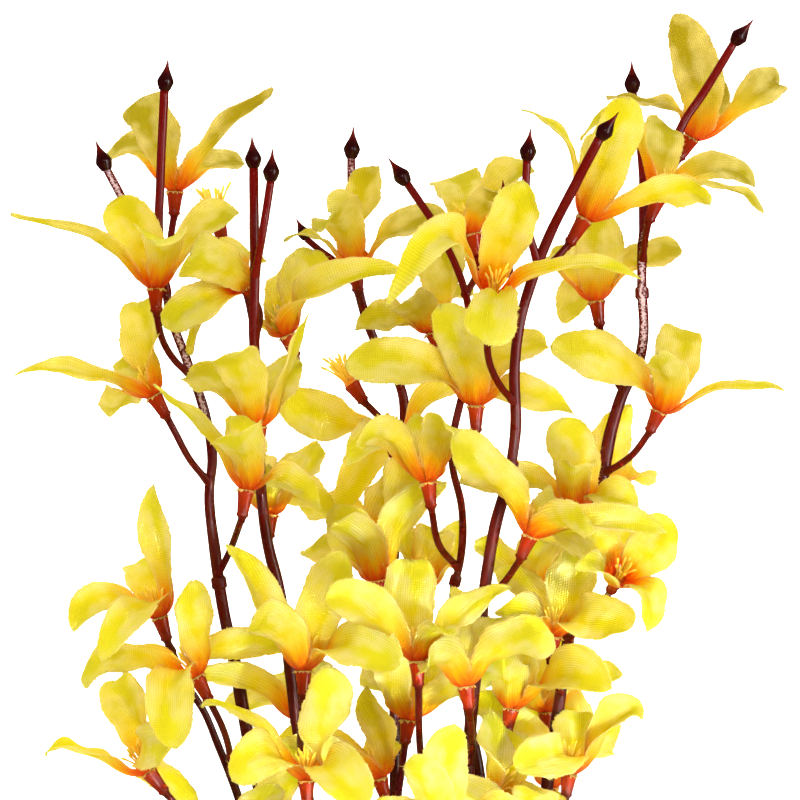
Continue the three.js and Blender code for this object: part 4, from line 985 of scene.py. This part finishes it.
def twig_parts(side, path):
    """A side twig runs from its bud down to its stem and turns in at the end."""
    end = nearest_on(path, place(side["route"][-1], 0))
    free = place(side["route"][:-1], side["height"])
    turn = free[-1] + (end - free[-1]) * 0.35
    turn[2] = (free[-1][2] * 2 + end[2]) / 3
    bud = bud_part(free[0], place(side["bud"], side["height"]), side["scale"])
    return [stalk(np.array([*free, turn, end]), side["radius"], TWIG_YOUTH, TWIG_KNUCKLE), bud]


# %% [markdown]
# The calyx tube is turned like a tiny vase: a lip under the cloth, a waist, and a ring at its
# foot. Its stalk then runs down to the stem on a curve that drops slowly at first.

# %% Calyx tubes and stalks
CALYX_SHARES = np.array([-0.08, -0.06, 0.02, 0.12, 0.3, 0.6, 0.82, 0.86, 0.93, 0.97, 1.05, 1.2])
CALYX_RADII = np.array([1.9, 2.15, 2.3, 2.12, 1.92, 1.7, 1.5, 1.66, 1.66, 1.35, 1.05, 0.9])
CALYX_WARMTH = np.array([1.0, 1.0, 1.0, 0.95, 0.85, 0.62, 0.42, 0.36, 0.3, 0.12, 0.04, 0.0])
STALK_RADIUS = 0.9
STALK_DROP = 1.3


def stalk_points(name, path):
    """The stalk's points: its height falls from the calyx's to the stem's as share ** 1.3."""
    _, calyx_foot, _ = FRAMES[name]
    way = BLOOMS[name][3]
    end = nearest_on(path, place(way[-1], 0))
    points = np.array([calyx_foot, *place(way[:-1], 0), end])
    flat_steps = np.linalg.norm(np.diff(points[:, :2], axis=0), axis=1)
    share = np.cumsum(flat_steps) / flat_steps.sum()
    points[1:-1, 2] = calyx_foot[2] + (end[2] - calyx_foot[2]) * share[:-1] ** STALK_DROP
    return points


def calyx_parts(name, path):
    """The tube under a bloom with the stalk that carries it."""
    floor, calyx_foot, _ = FRAMES[name]
    youth = profile(STALK_YOUTH, BLOOMS[name][1][1])
    spine = floor + (calyx_foot - floor) * CALYX_SHARES[:, None]
    vase = tinted(tube(spine, CALYX_RADII, TWIG_SIDES), TWIG_SIDES, youth=youth, warmth=CALYX_WARMTH)
    return [vase, stalk(stalk_points(name, path), STALK_RADIUS, youth, STALK_KNUCKLE)]


# %% The eight stems
def stem_piece(name):
    """A stem with its twigs, buds, stalks and calyx tubes, which are moulded in one."""
    stem, path = STEMS[name], stem_path(name)
    parts = [main_tube(name)]
    if "bud" in stem:
        parts.append(bud_part(path[0], place(stem["bud"], path[0][2]), 1.0))
    for side in stem.get("twigs", []):
        parts += twig_parts(side, path)
    for bloom_name, bloom in BLOOMS.items():
        if bloom[0] == name:
            parts += calyx_parts(bloom_name, path)
    whole = gather(parts)
    whole["points"][:, 2] = np.maximum(whole["points"][:, 2], 0)
    made = make_piece(f"{name}_moulding", whole, stem_plastic)
    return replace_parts(made, name)


stem_pieces = [stem_piece(name) for name in STEMS]
print("stem faces:", sum(len(piece.data.polygons) for piece in stem_pieces))

# %% [markdown]
# ## How a petal runs
# A petal leaves the rim of the cup's flat floor, rises with the bell and bends over to its tip.
# Its spine is a cubic Bezier curve. Across it, the cloth turns from facing the bloom's axis at
# its root to partly facing up, and it is cupped, deep near its root and shallow at its tip.
# The frame holds the same petals with few faces, so the same formula gives their place here.

# %% Petal forms
# width in mm; facing is how far the petal turns up; frame_tip is the tip's width in the frame;
# pointed is the range of how pointed the cloth's tip is, and blunt the power of a round one.
Form = namedtuple(
    "Form",
    "width facing bow frame_tip pointed blunt rests",
    defaults=(11.5, 0.5, 0.1, 0.4, (0.15, 1.0), 2.5, False),
)
FORMS = {
    "": Form(),
    "w": Form(width=13.2, facing=0.75, pointed=(0.0, 0.4)),
    "s": Form(width=13.2, facing=0.75, frame_tip=0.85, pointed=(0.0, 0.0), blunt=7.0),
    "n": Form(width=8.3, facing=0.2, pointed=(0.3, 0.9)),
    "a": Form(bow=0.26, pointed=(0.2, 0.8)),
    "r": Form(pointed=(0.3, 0.7), rests=True),
}

# %% Petal formula
NODE_GAP = 0.3
TABLE_CLEARANCE = 3
FRAME_THICKNESS = 0.62
FLOOR_LEVEL = NODE_GAP + FRAME_THICKNESS / 2
PETALS = 4
ROOT_RADIUS = 2
ROOT_HALF = ROOT_RADIUS * np.sin(np.pi / PETALS) * 0.85
ROOT_HOLD = 0.35
PETAL_REACH = 36
BELLY = 0.62
SHOULDER = 0.75
TWIST_END = 0.55


def frame_half_width(along, full, tip_share):
    """Half the width in the frame: a power of a sine up to the belly, then an ellipse."""
    rise = np.sin(rising(along, 0, BELLY) * np.pi / 2) ** SHOULDER
    below = ROOT_HALF + (full - ROOT_HALF) * rise
    past = rising(along, BELLY, 1 - BELLY)
    return np.where(along < BELLY, below, full * np.sqrt(1 - (1 - tip_share**2) * past**2))


def frame_hollow(along):
    """How deep the cloth is cupped in the frame, as a share of its half width."""
    return 0.34 - 0.2 * along


def petal_surface(frame_of, petal, tip, along, side, half, hollow):
    """Points, normals and the directions across and along over a petal.

    point = spine(along) + lateral * half * side + normal * hollow * side ** 2, and the normal
    is that of the inner face. along, side, half and hollow are arrays of one shape."""
    floor, _, axis = frame_of
    rootward = round_axis(axis, petal["turn"])
    root_across = np.cross(axis, rootward)
    root = floor + axis * FLOOR_LEVEL + rootward * ROOT_RADIUS
    chord = tip - root
    length = np.linalg.norm(chord, axis=-1, keepdims=True)
    tip_across = unit(np.cross(axis, chord / length + rootward * ROOT_HOLD))
    bow = petal["bow"]
    second_knot = root + unit(axis + 0.5 * rootward) * length * (0.25 + 0.7 * bow)
    third_knot = root + chord * 0.68 + axis * length * bow

    def spine_way(t):
        return (
            (1 - t) ** 2 * (second_knot - root)
            + 2 * (1 - t) * t * (third_knot - second_knot)
            + t**2 * (tip - third_knot)
        )

    flat = unit(np.cross(UP, spine_way(BELLY)))
    shows = np.where(dot(flat, tip_across) < -0.1, -1.0, 1.0)
    t = along[..., None]
    spine = (
        (1 - t) ** 3 * root
        + 3 * (1 - t) ** 2 * t * second_knot
        + 3 * (1 - t) * t**2 * third_knot
        + t**3 * tip
    )
    ahead = unit(spine_way(t))
    shown = unit(np.cross(UP, ahead)) * shows
    turned = np.minimum(t / TWIST_END, 1)
    facing = petal["form"].facing
    across = root_across + (tip_across + (shown - tip_across) * facing - root_across) * turned
    lateral = unit(across - ahead * dot(across, ahead))
    normal = np.cross(ahead, lateral)
    points = spine + lateral * (half * side)[..., None] + normal * (hollow * side**2)[..., None]
    return points, normal, lateral, ahead


# %% [markdown]
# ## Where the petals of a bloom point
# The layout gives some of a bloom's four tips. The others stand in the widest gaps between
# them. The roots are spread evenly round the floor, in the order that turns each petal least.

# %% Petal tips and roots
FIRST_TURN = 0.6
OUTWARD_LEAN = 1.08
SAME_PULL = 1e-6


def turn_of(out, axis):
    """A direction's angle round the axis, from 0 to a whole turn, and its reach away from it."""
    first, second = [out @ way for way in cross_axes(axis)]
    return np.arctan2(second, first) % WHOLE_TURN, np.hypot(first, second)


def petal_tips(frame_of, bloom):
    """Tips in millimetres with their forms, the layout's first."""
    floor, _, axis = frame_of
    petals = []
    for across, down, lift, *rest in bloom[4]:
        form = FORMS[rest[0] if rest else ""]
        tip = place([across, down], floor[2])
        level = np.linalg.norm(tip - floor)
        depth = np.sqrt(max(PETAL_REACH**2 - level**2, (0.2 * PETAL_REACH) ** 2))
        tip[2] = max(floor[2] + lift * depth, TABLE_CLEARANCE)
        if form.rests:
            tip[2] = FRAME_THICKNESS / 4
        petals.append({"tip": tip, "form": form, "bow": rest[1] if len(rest) > 1 else form.bow})
    turns = [turn_of(petal["tip"] - floor, axis)[0] for petal in petals]
    while len(petals) < PETALS:
        turns.sort()
        after = turns[1:] + turns[:1]
        gaps = [(b - a) % WHOLE_TURN or WHOLE_TURN for a, b in zip(turns, after)]
        widest = int(np.argmax(np.round(gaps, 6))) if gaps else None
        start, gap = (FIRST_TURN, WHOLE_TURN) if widest is None else (turns[widest], gaps[widest])
        turn = (start + gap / 2) % WHOLE_TURN
        turns.append(turn)
        outward = axis * np.cos(OUTWARD_LEAN) + round_axis(axis, turn) * np.sin(OUTWARD_LEAN)
        tip = floor + PETAL_REACH * outward
        tip[2] = max(tip[2], TABLE_CLEARANCE)
        petals.append({"tip": tip, "form": FORMS[""], "bow": FORMS[""].bow})
    return petals


def orders(count):
    """Every order of the numbers from 0 to count - 1."""
    if count == 1:
        return [[0]]
    return [
        [*order[:i], count - 1, *order[i:]] for order in orders(count - 1) for i in range(count)
    ]


def set_roots(frame_of, petals):
    """Gives each petal its place round the floor. A petal near the axis weighs little."""
    floor, _, axis = frame_of
    step = WHOLE_TURN / len(petals)
    turns, weights = np.array([turn_of(unit(petal["tip"] - floor), axis) for petal in petals]).T
    best = (-1.0, 0.0, [])
    for order in orders(len(petals)):
        pull = (weights * np.exp(1j * (turns - np.array(order) * step))).sum()
        if abs(pull) > best[0] + SAME_PULL:
            best = (abs(pull), np.angle(pull), order)
    for petal, slot in zip(petals, best[2]):
        petal["turn"] = best[1] + slot * step
    return petals


# %% [markdown]
# ## Petals that give way
# Where a petal would have crossed a neighbour, the frame swung it a little or lifted it. The
# same trials are made here, and the one whose tip corners are points of the frame's own bloom
# is the one that the frame holds.

# %% Find each petal's tip in the frame
SWINGS = np.radians([0, 8, -8, 16, -16, 24, -24])
LIFTS = np.array([0, 4, -4, 8, -8, 12, -12, 16, -16, 20, -20, 24, -24])
TIP_SIDES = np.array([[-1.0, 1.0]])
TIP_ALONG = np.ones((1, 2))


def trial_tips(floor, petal):
    """A tip at every swing about the cup and every lift."""
    out = petal["tip"] - floor
    swing, lift = [grid.ravel() for grid in np.meshgrid(SWINGS, LIFTS, indexing="ij")]
    x = out[0] * np.cos(swing) - out[1] * np.sin(swing)
    y = out[0] * np.sin(swing) + out[1] * np.cos(swing)
    tips = floor + np.stack([x, y, np.full(len(swing), out[2])], axis=1)
    if not petal["form"].rests:
        tips[:, 2] = np.maximum(tips[:, 2] + lift, TABLE_CLEARANCE)
    return tips


def frame_corners(frame_of, petal, tips):
    """The corners of a petal's tip in the frame, both faces, for each trial."""
    half = frame_half_width(TIP_ALONG, petal["form"].width / 2, petal["form"].frame_tip)
    hollow = half * frame_hollow(TIP_ALONG)
    points, normal, _, _ = petal_surface(
        frame_of, petal, tips[:, None], TIP_ALONG, TIP_SIDES, half, hollow
    )
    offset = normal * FRAME_THICKNESS / 2
    return np.concatenate([points + offset, points - offset], 1)


def node_points(name):
    """The points of a CAD node, in millimetres."""
    vertices = frame["nodes"][name].data.vertices
    points = np.zeros(len(vertices) * 3)
    vertices.foreach_get("co", points)
    return np.unique(np.round(points.reshape(-1, 3) / MM, 3), axis=0)


def settle(name):
    """The bloom's petals with the tips that the frame gave them."""
    frame_of = FRAMES[name]
    petals = set_roots(frame_of, petal_tips(frame_of, BLOOMS[name]))
    known = node_points(f"bloom_{name}")
    for petal in petals:
        tips = trial_tips(frame_of[0], petal)
        corners = frame_corners(frame_of, petal, tips)
        far = np.linalg.norm(corners[:, :, None] - known, axis=-1).min(axis=-1)
        misses = np.sort(far, axis=1)[:, :2].max(axis=1)
        petal["given"] = tips[np.argmin(misses)]
        petal["miss"] = misses.min()
    return petals


settled = {name: settle(name) for name in BLOOMS if name not in BARE_BLOOMS}
print("worst miss in mm:", max(petal["miss"] for petals in settled.values() for petal in petals))

# %% [markdown]
# ## The cloth of a petal
# The outline is cut with a hot wire, so it is smooth but not perfect: the tip is rounded, the
# sides wander by a hair, and loose threads stand out of the edge. The press leaves a groove
# down the middle and fans of fine pleats above the throat, and handling adds soft dents and a
# ruffled rim. All of these are added along the normal, each as a formula of along and side.

# %% Petal outline and bell
TIP_END = 1.03
BULGE = 1.5
BULGE_PLACE = 0.1
BELL_FULLNESS = 0.3
BELL_SPOT = (0.08, 0.12)
SHARPER_BELLY = 0.14
SHARPNESS = 1.6
SQUARE = 5
SQUARE_FLARE, SQUARE_WAIST = 0.38, 0.2


def swell(field, seed, count=5):
    """Soft noise from -1 to 1: the mean of a few sines in random directions over two fields."""
    draw = np.random.default_rng(seed)
    a, b = field
    waves = [
        np.sin(draw.normal(0, 1) * a * 2.2 + draw.normal(0, 1) * b * 7 + draw.uniform(0, WHOLE_TURN))
        for _ in range(count)
    ]
    return np.mean(waves, axis=0)


def hill(at, middle, reach):
    """A bell curve of height 1: exp(-((at - middle) / reach) ** 2)."""
    return np.exp(-(((at - middle) / reach) ** 2))


def cloth_half_width(along, form, pointed, wander):
    """Half the width of the cloth: as in the frame, but fuller round the bell, and either round
    or pointed at the tip. A round tip is a super-ellipse, a pointed one runs in on two arcs, and
    a square petal widens towards its tip."""
    belly = BELLY - SHARPER_BELLY * pointed
    below = frame_half_width(
        np.minimum(along * BELLY / belly, BELLY), form.width / 2, FORMS[""].frame_tip
    )
    bell = 1 + BELL_FULLNESS * hill(along, *BELL_SPOT)
    past = rising(along, belly, TIP_END - belly)
    round_tip = np.sqrt(np.clip(1 - past**form.blunt, 0.004, 1))
    sharp_tip = np.clip(1 - past**SHARPNESS, 0.03, 1) ** 0.95
    flare = 1 + (SQUARE_FLARE * np.clip(along, 0, 1) ** 2 - SQUARE_WAIST) * (form.blunt > SQUARE)
    return below * bell * (round_tip + (sharp_tip - round_tip) * pointed) * (1 + wander) * flare


def bell_bulge(along):
    """How far the bell swells out above its floor, in millimetres: x * exp(1 - x)."""
    rise = along / BULGE_PLACE
    return BULGE * rise * np.exp(1 - rise)


# %% Petal relief
RELIEF_SPANS = {
    "ruffle": (0.3, 1.0),
    "dent": (0.5, 1.2),
    "curl": (-3.0, 1.5),
    "cup": (-0.2, 1.6),
    "crinkle": (0.08, 0.22),
    "fold": (0.15, 0.5),
    "fold_pitch": (2.5, 5),
    "rib": (0.1, 0.4),
    "ruffle_pitch": (9, 17),
}
CREASES = 4
PLEATS, PLEAT_DEPTH, PLEAT_SPOT = 4.5, 0.26, (0.24, 0.16)
VEINS, VEIN_DEPTH = 7, 0.05
RIB_WIDTH, CREASE_WIDTH = 0.13, 0.05
DENT_WIDTH, CRINKLE_WIDTH = 4.5, 1.5
THROAT_SPAN, CURL_SPAN = (0.04, 0.2), (0.66, 0.37)
FOLDS_FADE = 0.4


def ridge(at, reach):
    """A sharp crest of height 1 at nought: exp(-|at| / reach)."""
    return np.exp(-np.abs(at) / reach)


def petal_relief(along, side, half, hollow, seed):
    """How far the cloth stands off its smooth form, in millimetres towards the inner face."""
    draw = np.random.default_rng(seed)
    phase, ruffle_phase = draw.uniform(0, WHOLE_TURN, 2)
    size = {name: draw.uniform(*span) for name, span in RELIEF_SPANS.items()}
    pleats = PLEAT_DEPTH * np.cos(side * np.pi * PLEATS + phase) * hill(along, *PLEAT_SPOT)
    veins = VEIN_DEPTH * np.cos(side * np.pi * VEINS + 2 * phase)
    folds = size["fold"] * np.sin(side * size["fold_pitch"] + phase + along)
    rib = -size["rib"] * ridge(side - 0.1 * np.sin(phase), RIB_WIDTH)
    pleats = pleats + (folds + rib) * rising(1.0 - along, 0, FOLDS_FADE)
    wave = np.sin(along * size["ruffle_pitch"] + ruffle_phase * np.sign(side) + side)
    rim = size["ruffle"] * np.abs(side) ** 3 * wave
    dents = size["dent"] * swell((side * half / DENT_WIDTH, along * 1.3), seed + 1)
    crinkle = size["crinkle"] * swell((side * half / CRINKLE_WIDTH, along * 3.6), seed + 3)
    tip = size["curl"] * rising(along, *CURL_SPAN) ** 2.2
    leans, starts = draw.normal(0, 0.3, CREASES), draw.uniform(0.3, 0.95, CREASES)
    creases = np.zeros_like(along)
    for lean, start, depth in zip(leans, starts, draw.normal(0, 0.3, CREASES)):
        creases += depth * (1 - side**2) * ridge(along - start - lean * side, CREASE_WIDTH)
    cup = size["cup"] * hollow * (np.abs(side) - side**2)
    relief_here = pleats + veins + rim + dents + tip + creases + crinkle
    return relief_here * rising(along, *THROAT_SPAN) + cup


# %% [markdown]
# A sheet has an inner and an outer face and a wall round its rim, so it is a closed solid. Its
# map is in millimetres, across and along the petal, and the weave is drawn on that.

# %% Closed sheets and loose threads
THREADS = 90
STRAYS = 1
STRAY_STRETCH = 4
THREAD_RADIUS = 0.075
THREAD_POINTS = 4
THREAD_ROOT = 0.1
THREAD_LENGTHS = (0.2, 0.8)
FRINGE_START = 0.12
TIP_SPAN = (0.9, 0.13)
FRAYED = 0.6


def closed_sheet(points, normal, thickness):
    """Both faces of a grid and the wall round it, as one part, and the grid's rim as a loop."""
    rows, columns = points.shape[:2]
    count = rows * columns
    grid = np.arange(count).reshape(rows, columns)
    offset = normal * (thickness / 2)[..., None]
    both = np.concatenate([(points + offset).reshape(-1, 3), (points - offset).reshape(-1, 3)])
    inner = np.stack([grid[:-1, :-1], grid[1:, :-1], grid[1:, 1:], grid[:-1, 1:]], axis=-1).reshape(-1, 4)
    rim = np.concatenate([grid[:-1, 0], grid[-1, :-1], grid[:0:-1, -1], grid[0, :0:-1]])
    after = np.roll(rim, -1)
    wall = np.stack([after, rim, rim + count, after + count], axis=1)
    return {"points": both, "faces": [inner, inner[:, ::-1] + count, wall]}, rim


def threads_part(bases, ways, lengths, radius):
    """Loose threads: a three-sided needle on each base, closed at its foot."""
    first = unit(np.cross(ways, UP + 0.3))
    second = np.cross(ways, first)
    turn = even_turns(3)
    ring = np.cos(turn)[:, None] * first[:, None] + np.sin(turn)[:, None] * second[:, None]
    foot = bases[:, None] + ring * radius
    points = np.concatenate([foot, (bases + ways * lengths[:, None])[:, None]], axis=1).reshape(-1, 3)
    start = np.arange(len(bases))[:, None] * THREAD_POINTS
    sides = [start + np.array(corner) for corner in ((0, 1, 3), (1, 2, 3), (2, 0, 3), (2, 1, 0))]
    return {"points": points, "faces": [np.concatenate(sides)]}


def fringe_part(draw, rim, along, side, chart, points, normal, lateral, ahead):
    """Loose threads that lean out of a petal's rim, and forward near its tip."""
    picks = rim[along[rim] > FRINGE_START]
    spots = np.sort(draw.choice(len(picks) - 1, THREADS))
    here, after = picks[spots], picks[spots + 1]
    mix = draw.uniform(0, 1, THREADS)[:, None]
    bases = points[here] * (1 - mix) + points[after] * mix
    out = lateral[here] * np.sign(side[here])[:, None]
    near_tip = rising(along[here], *TIP_SPAN)[:, None]
    ways = out * (1.1 - near_tip) + ahead[here] * (near_tip + draw.normal(0.1, 0.45, (THREADS, 1)))
    ways = unit(ways + normal[here] * draw.normal(0, 0.35, (THREADS, 1)))
    longer = 0.3 * near_tip[:, 0]
    lengths = draw.uniform(*THREAD_LENGTHS, THREADS) + longer * draw.uniform(0, 1, THREADS)
    lengths[draw.choice(THREADS, STRAYS)] *= STRAY_STRETCH
    bases = bases - ways * THREAD_ROOT
    fringe = threads_part(bases, ways, lengths + THREAD_ROOT, THREAD_RADIUS)
    fringe["map"] = np.repeat(chart[here], THREAD_POINTS, axis=0)
    return marked(fringe, along=np.repeat(along[here], THREAD_POINTS), worn=FRAYED)


# %% A whole petal
ROWS = 60
COLUMNS = 11
EDGE_CROWDING = 1.25
RAGGED = 0.12
WANDER = 0.16
SWAY = 1.1
CLOTH_THICKNESS = 0.3
RIM_THINNING = 0.45
BELL_END = (0.1, 0.2)
ROUND_HOLLOW = 0.41
DEPTHS = (0.6, 2.4)
OWN_TONE = 0.12


def petal_parts(frame_of, petal, seed):
    """The cloth of one petal and the threads along its edge."""
    draw = np.random.default_rng(seed)
    share = np.linspace(0, 1, ROWS)
    along = (TIP_END * (0.8 * share + 0.9 * share**2 - 0.7 * share**3))[:, None] + np.zeros(COLUMNS)
    across = np.sin(np.linspace(-1, 1, COLUMNS) * EDGE_CROWDING) / np.sin(EDGE_CROWDING)
    side = across + np.zeros((ROWS, 1))
    wander = WANDER * swell((np.sign(side) * 0.8, along * 1.3), seed + 2)
    pointed = draw.uniform(*petal["form"].pointed)
    half = cloth_half_width(along, petal["form"], pointed, wander)
    in_bell = 1 - rising(along, *BELL_END)
    deep = draw.uniform(*DEPTHS)
    hollow = half * (ROUND_HOLLOW * in_bell + frame_hollow(along) * deep * (1 - in_bell))
    points, normal, lateral, ahead = petal_surface(
        frame_of, petal, petal["given"], along, side, half, hollow
    )
    points = points + bell_bulge(along)[..., None] * round_axis(frame_of[2], petal["turn"])
    sway = draw.normal(0, SWAY) * np.sin(np.pi * np.clip(along, 0, 1))
    points = points + sway[..., None] * lateral
    torn = RAGGED * draw.normal(0, 1, (ROWS, 2, 1)) * np.clip(along[:, :1, None] / 0.15 - 0.5, 0, 1)
    points[:, [0, -1]] += lateral[:, [0, -1]] * torn
    points[-1] += ahead[-1] * RAGGED * draw.normal(0, 1.5, (COLUMNS, 1))
    points = points + normal * petal_relief(along, side, half, hollow, seed)[..., None]
    slope = np.cross(np.gradient(points, axis=0), np.gradient(points, axis=1))
    normal = unit(slope + 1e-9 * normal)
    part, rim = closed_sheet(points, normal, CLOTH_THICKNESS * (1 - RIM_THINNING * side**4))
    chart = np.stack([half * side, along * PETAL_REACH], axis=-1).reshape(-1, 2)
    part["map"] = np.tile(chart, (2, 1))
    tone = np.random.default_rng(seed + 5).normal(0, OWN_TONE)
    along, side = along.ravel(), side.ravel()
    worn = 0.5 * np.abs(side) ** 10 * (along > 0.1)
    marked(part, along=np.tile(along, 2), worn=np.tile(worn, 2), tone=tone)
    ways = [grid.reshape(-1, 3) for grid in (points, normal, lateral, ahead)]
    fringe = fringe_part(draw, rim, along, side, chart, *ways)
    return [part, marked(fringe, tone=tone)]


# %% [markdown]
# ## The bell's floor and its ragged skirt
# The cloth between the petals is a small disc over the calyx. A second, ragged scrap of the
# same cloth is trapped under it and sticks out round the tube's lip like a torn skirt.

# %% Floor and skirt
FLOOR_RINGS = np.array([0.0, 1.2, 2.2])
FLOOR_POINTS = 24
SKIRT_POINTS = 44
SKIRT_THICKNESS = 0.14
SKIRT_HELD = [(1.8, 0.36), (2.2, 0.34)]
SKIRT_REACH = 2.1
FLAPS = 5
FLAP_REACH = 0.5
FLAP_WIDTH = 0.14


def disc_part(frame_of, heights, radii, thickness):
    """Rings of cloth round the bloom's axis, as a closed sheet from the middle outwards.

    heights and radii are grids: one row for each ring, one column for each direction."""
    floor, _, axis = frame_of
    out = round_axis(axis, even_turns(radii.shape[1]))
    points = floor + radii[..., None] * out + heights[..., None] * axis
    closed = np.concatenate([points, points[:, :1]], axis=1)[::-1]
    normal = np.broadcast_to(axis, closed.shape)
    part, _ = closed_sheet(closed, -normal, np.full(closed.shape[:2], thickness))
    part["map"] = np.tile((closed @ np.stack(cross_axes(axis), axis=1)).reshape(-1, 2), (2, 1))
    return part


def floor_and_skirt(frame_of, seed):
    """The disc between the petals' roots, and the torn skirt under it."""
    draw = np.random.default_rng(seed)
    rings = FLOOR_RINGS[:, None] + np.zeros(FLOOR_POINTS)
    disc = disc_part(frame_of, np.full(rings.shape, FLOOR_LEVEL), rings, CLOTH_THICKNESS)
    flaps = draw.uniform(0, WHOLE_TURN, FLAPS)
    away = np.abs((even_turns(SKIRT_POINTS)[:, None] - flaps + np.pi) % WHOLE_TURN - np.pi)
    flap = hill(away.min(axis=1), 0, FLAP_WIDTH)
    torn = SKIRT_REACH + FLAP_REACH * flap + 0.3 * np.abs(draw.normal(0, 1, SKIRT_POINTS))
    droop = 0.9 * (torn - 2.3) + draw.uniform(-0.35, 0.4, SKIRT_POINTS)
    ring = np.ones(SKIRT_POINTS)
    radii = np.stack([*(radius * ring for radius, _ in SKIRT_HELD), torn])
    heights = np.stack([*(height * ring for _, height in SKIRT_HELD), 0.2 - droop])
    skirt = disc_part(frame_of, heights, radii, SKIRT_THICKNESS)
    return [
        marked(disc, along=0.0, worn=0.0, tone=0.0), marked(skirt, along=0.2, worn=FRAYED, tone=0.0)
    ]


# %% Every bloom's cloth
# painted shade, carried by the tone attribute: only near the tips of the spray, more on low blooms,
# scattered a little from bloom to bloom
SHADE_BY_HEIGHT = [(20, 0.8), (110, 0.1)]
SHADE_BY_REACH = [(285, 0.0), (335, 1.2)]
SHADE_SCATTER = 0.2
OFF_THE_TABLE = 0.03


def bloom_piece(name, number):
    """A bloom's petals, floor and skirt as one piece of cloth."""
    frame_of, seed = FRAMES[name], 1000 + 10 * number
    parts = floor_and_skirt(frame_of, seed)
    for i, petal in enumerate(settled[name]):
        parts += petal_parts(frame_of, petal, 50 * seed + 7 * i)
    whole = gather(parts)
    whole["points"][:, 2] = np.maximum(whole["points"][:, 2], OFF_THE_TABLE)
    _, reach, height = frame_of[0]
    # painted shade: a bloom near the tips, the lower the more, gets a higher tone and so a darker, duller
    # cloth
    shade_share = profile(SHADE_BY_HEIGHT, height) + SHADE_SCATTER * np.random.default_rng(seed).normal()
    whole["tone"] = np.clip(profile(SHADE_BY_REACH, reach) * shade_share + whole["tone"], 0, 1)
    made = make_piece(f"{name}_petals", whole, petal_cloth, "cloth")
    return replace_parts(made, f"bloom_{name}")


bloom_pieces = [bloom_piece(name, number) for number, name in enumerate(settled)]
print("bloom faces:", sum(len(piece.data.polygons) for piece in bloom_pieces))

# %% [markdown]
# ## Stamens
# A bloom's stamens are one small moulding, a crown of hooked spikes with knobs on a plug.
# Inside the petals they stand close together, and on the two bare calyxes they spread.

# %% Stamens
PLUG_HEIGHTS = np.array([0.32, 0.5, 1.3, 1.6])
PLUG_SHAPE = np.array([0.9, 1.0, 0.95, 0.6])
PLUG_SIDES = 12
STAMEN_SIDES = 6
SPIKE_SHARES = np.array([0.0, 0.25, 0.5, 0.76, 0.84, 0.94, 1.0])
SPIKE_RADII = np.array([1.0, 0.85, 0.72, 0.6, 0.95, 0.85, 0.15])
SPIKE_FOOT = 0.7
SPIKE_WIDTHS = (0.34, 0.46)
TURN_SLIP = 0.12
HOOK = 0.5
# the plug's radius, the number of stamens and the length of the longest
TUFT = (1.3, 12, 9.5)
BARE_TUFT = (1.9, 19, 10.5)
INNER_RING, OUTER_RING = 0.25, 0.62
INNER_SPREAD, OUTER_SPREAD, BARE_SPREAD = (0.05, 0.2), (0.2, 0.42), (0.2, 0.5)


def spike(frame_of, turn, start, spread, length, radius, hook):
    """One stamen: a tapering tube that leans out, hooks at its end and carries a knob."""
    floor, _, axis = frame_of
    out = round_axis(axis, turn)
    t = SPIKE_SHARES[:, None]
    lean = length * np.sin(spread) * t**1.8
    spine = floor + axis * (SPIKE_FOOT + length * t * np.cos(spread)) + out * (start + lean)
    spine = spine + (out * hook[0] + np.cross(axis, out) * hook[1]) * t**2.5
    part = tube(spine, SPIKE_RADII * radius, STAMEN_SIDES)
    return marked(part, along=along_tube(SPIKE_SHARES, STAMEN_SIDES))


def stamens_piece(name, number):
    """A crown of spikes on a short plug."""
    frame_of = FRAMES[name]
    floor, _, axis = frame_of
    draw = np.random.default_rng(500 + number)
    bare = name in BARE_BLOOMS
    plug_radius, count, length = BARE_TUFT if bare else TUFT
    plug = tube(floor + axis * PLUG_HEIGHTS[:, None], plug_radius * PLUG_SHAPE, PLUG_SIDES)
    parts = [marked(plug, along=0.0)]
    for i in range(count):
        inner = i % 3 == 2
        spread = draw.uniform(*(INNER_SPREAD if inner else BARE_SPREAD if bare else OUTER_SPREAD))
        turn = i / count * 2 * np.pi + draw.normal(0, TURN_SLIP)
        start = plug_radius * (INNER_RING if inner else OUTER_RING)
        spike_length, radius = length * draw.uniform(0.6, 1.0), draw.uniform(*SPIKE_WIDTHS)
        hook = draw.normal(0, HOOK, 2)
        parts.append(spike(frame_of, turn, start, spread, spike_length, radius, hook))
    made = make_piece(f"{name}_stamens", gather(parts), stamen_plastic)
    if bare:
        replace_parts(made, f"bloom_{name}")
    return made


stamen_pieces = [stamens_piece(name, number) for number, name in enumerate(BLOOMS)]
print("stamen faces:", sum(len(piece.data.polygons) for piece in stamen_pieces))
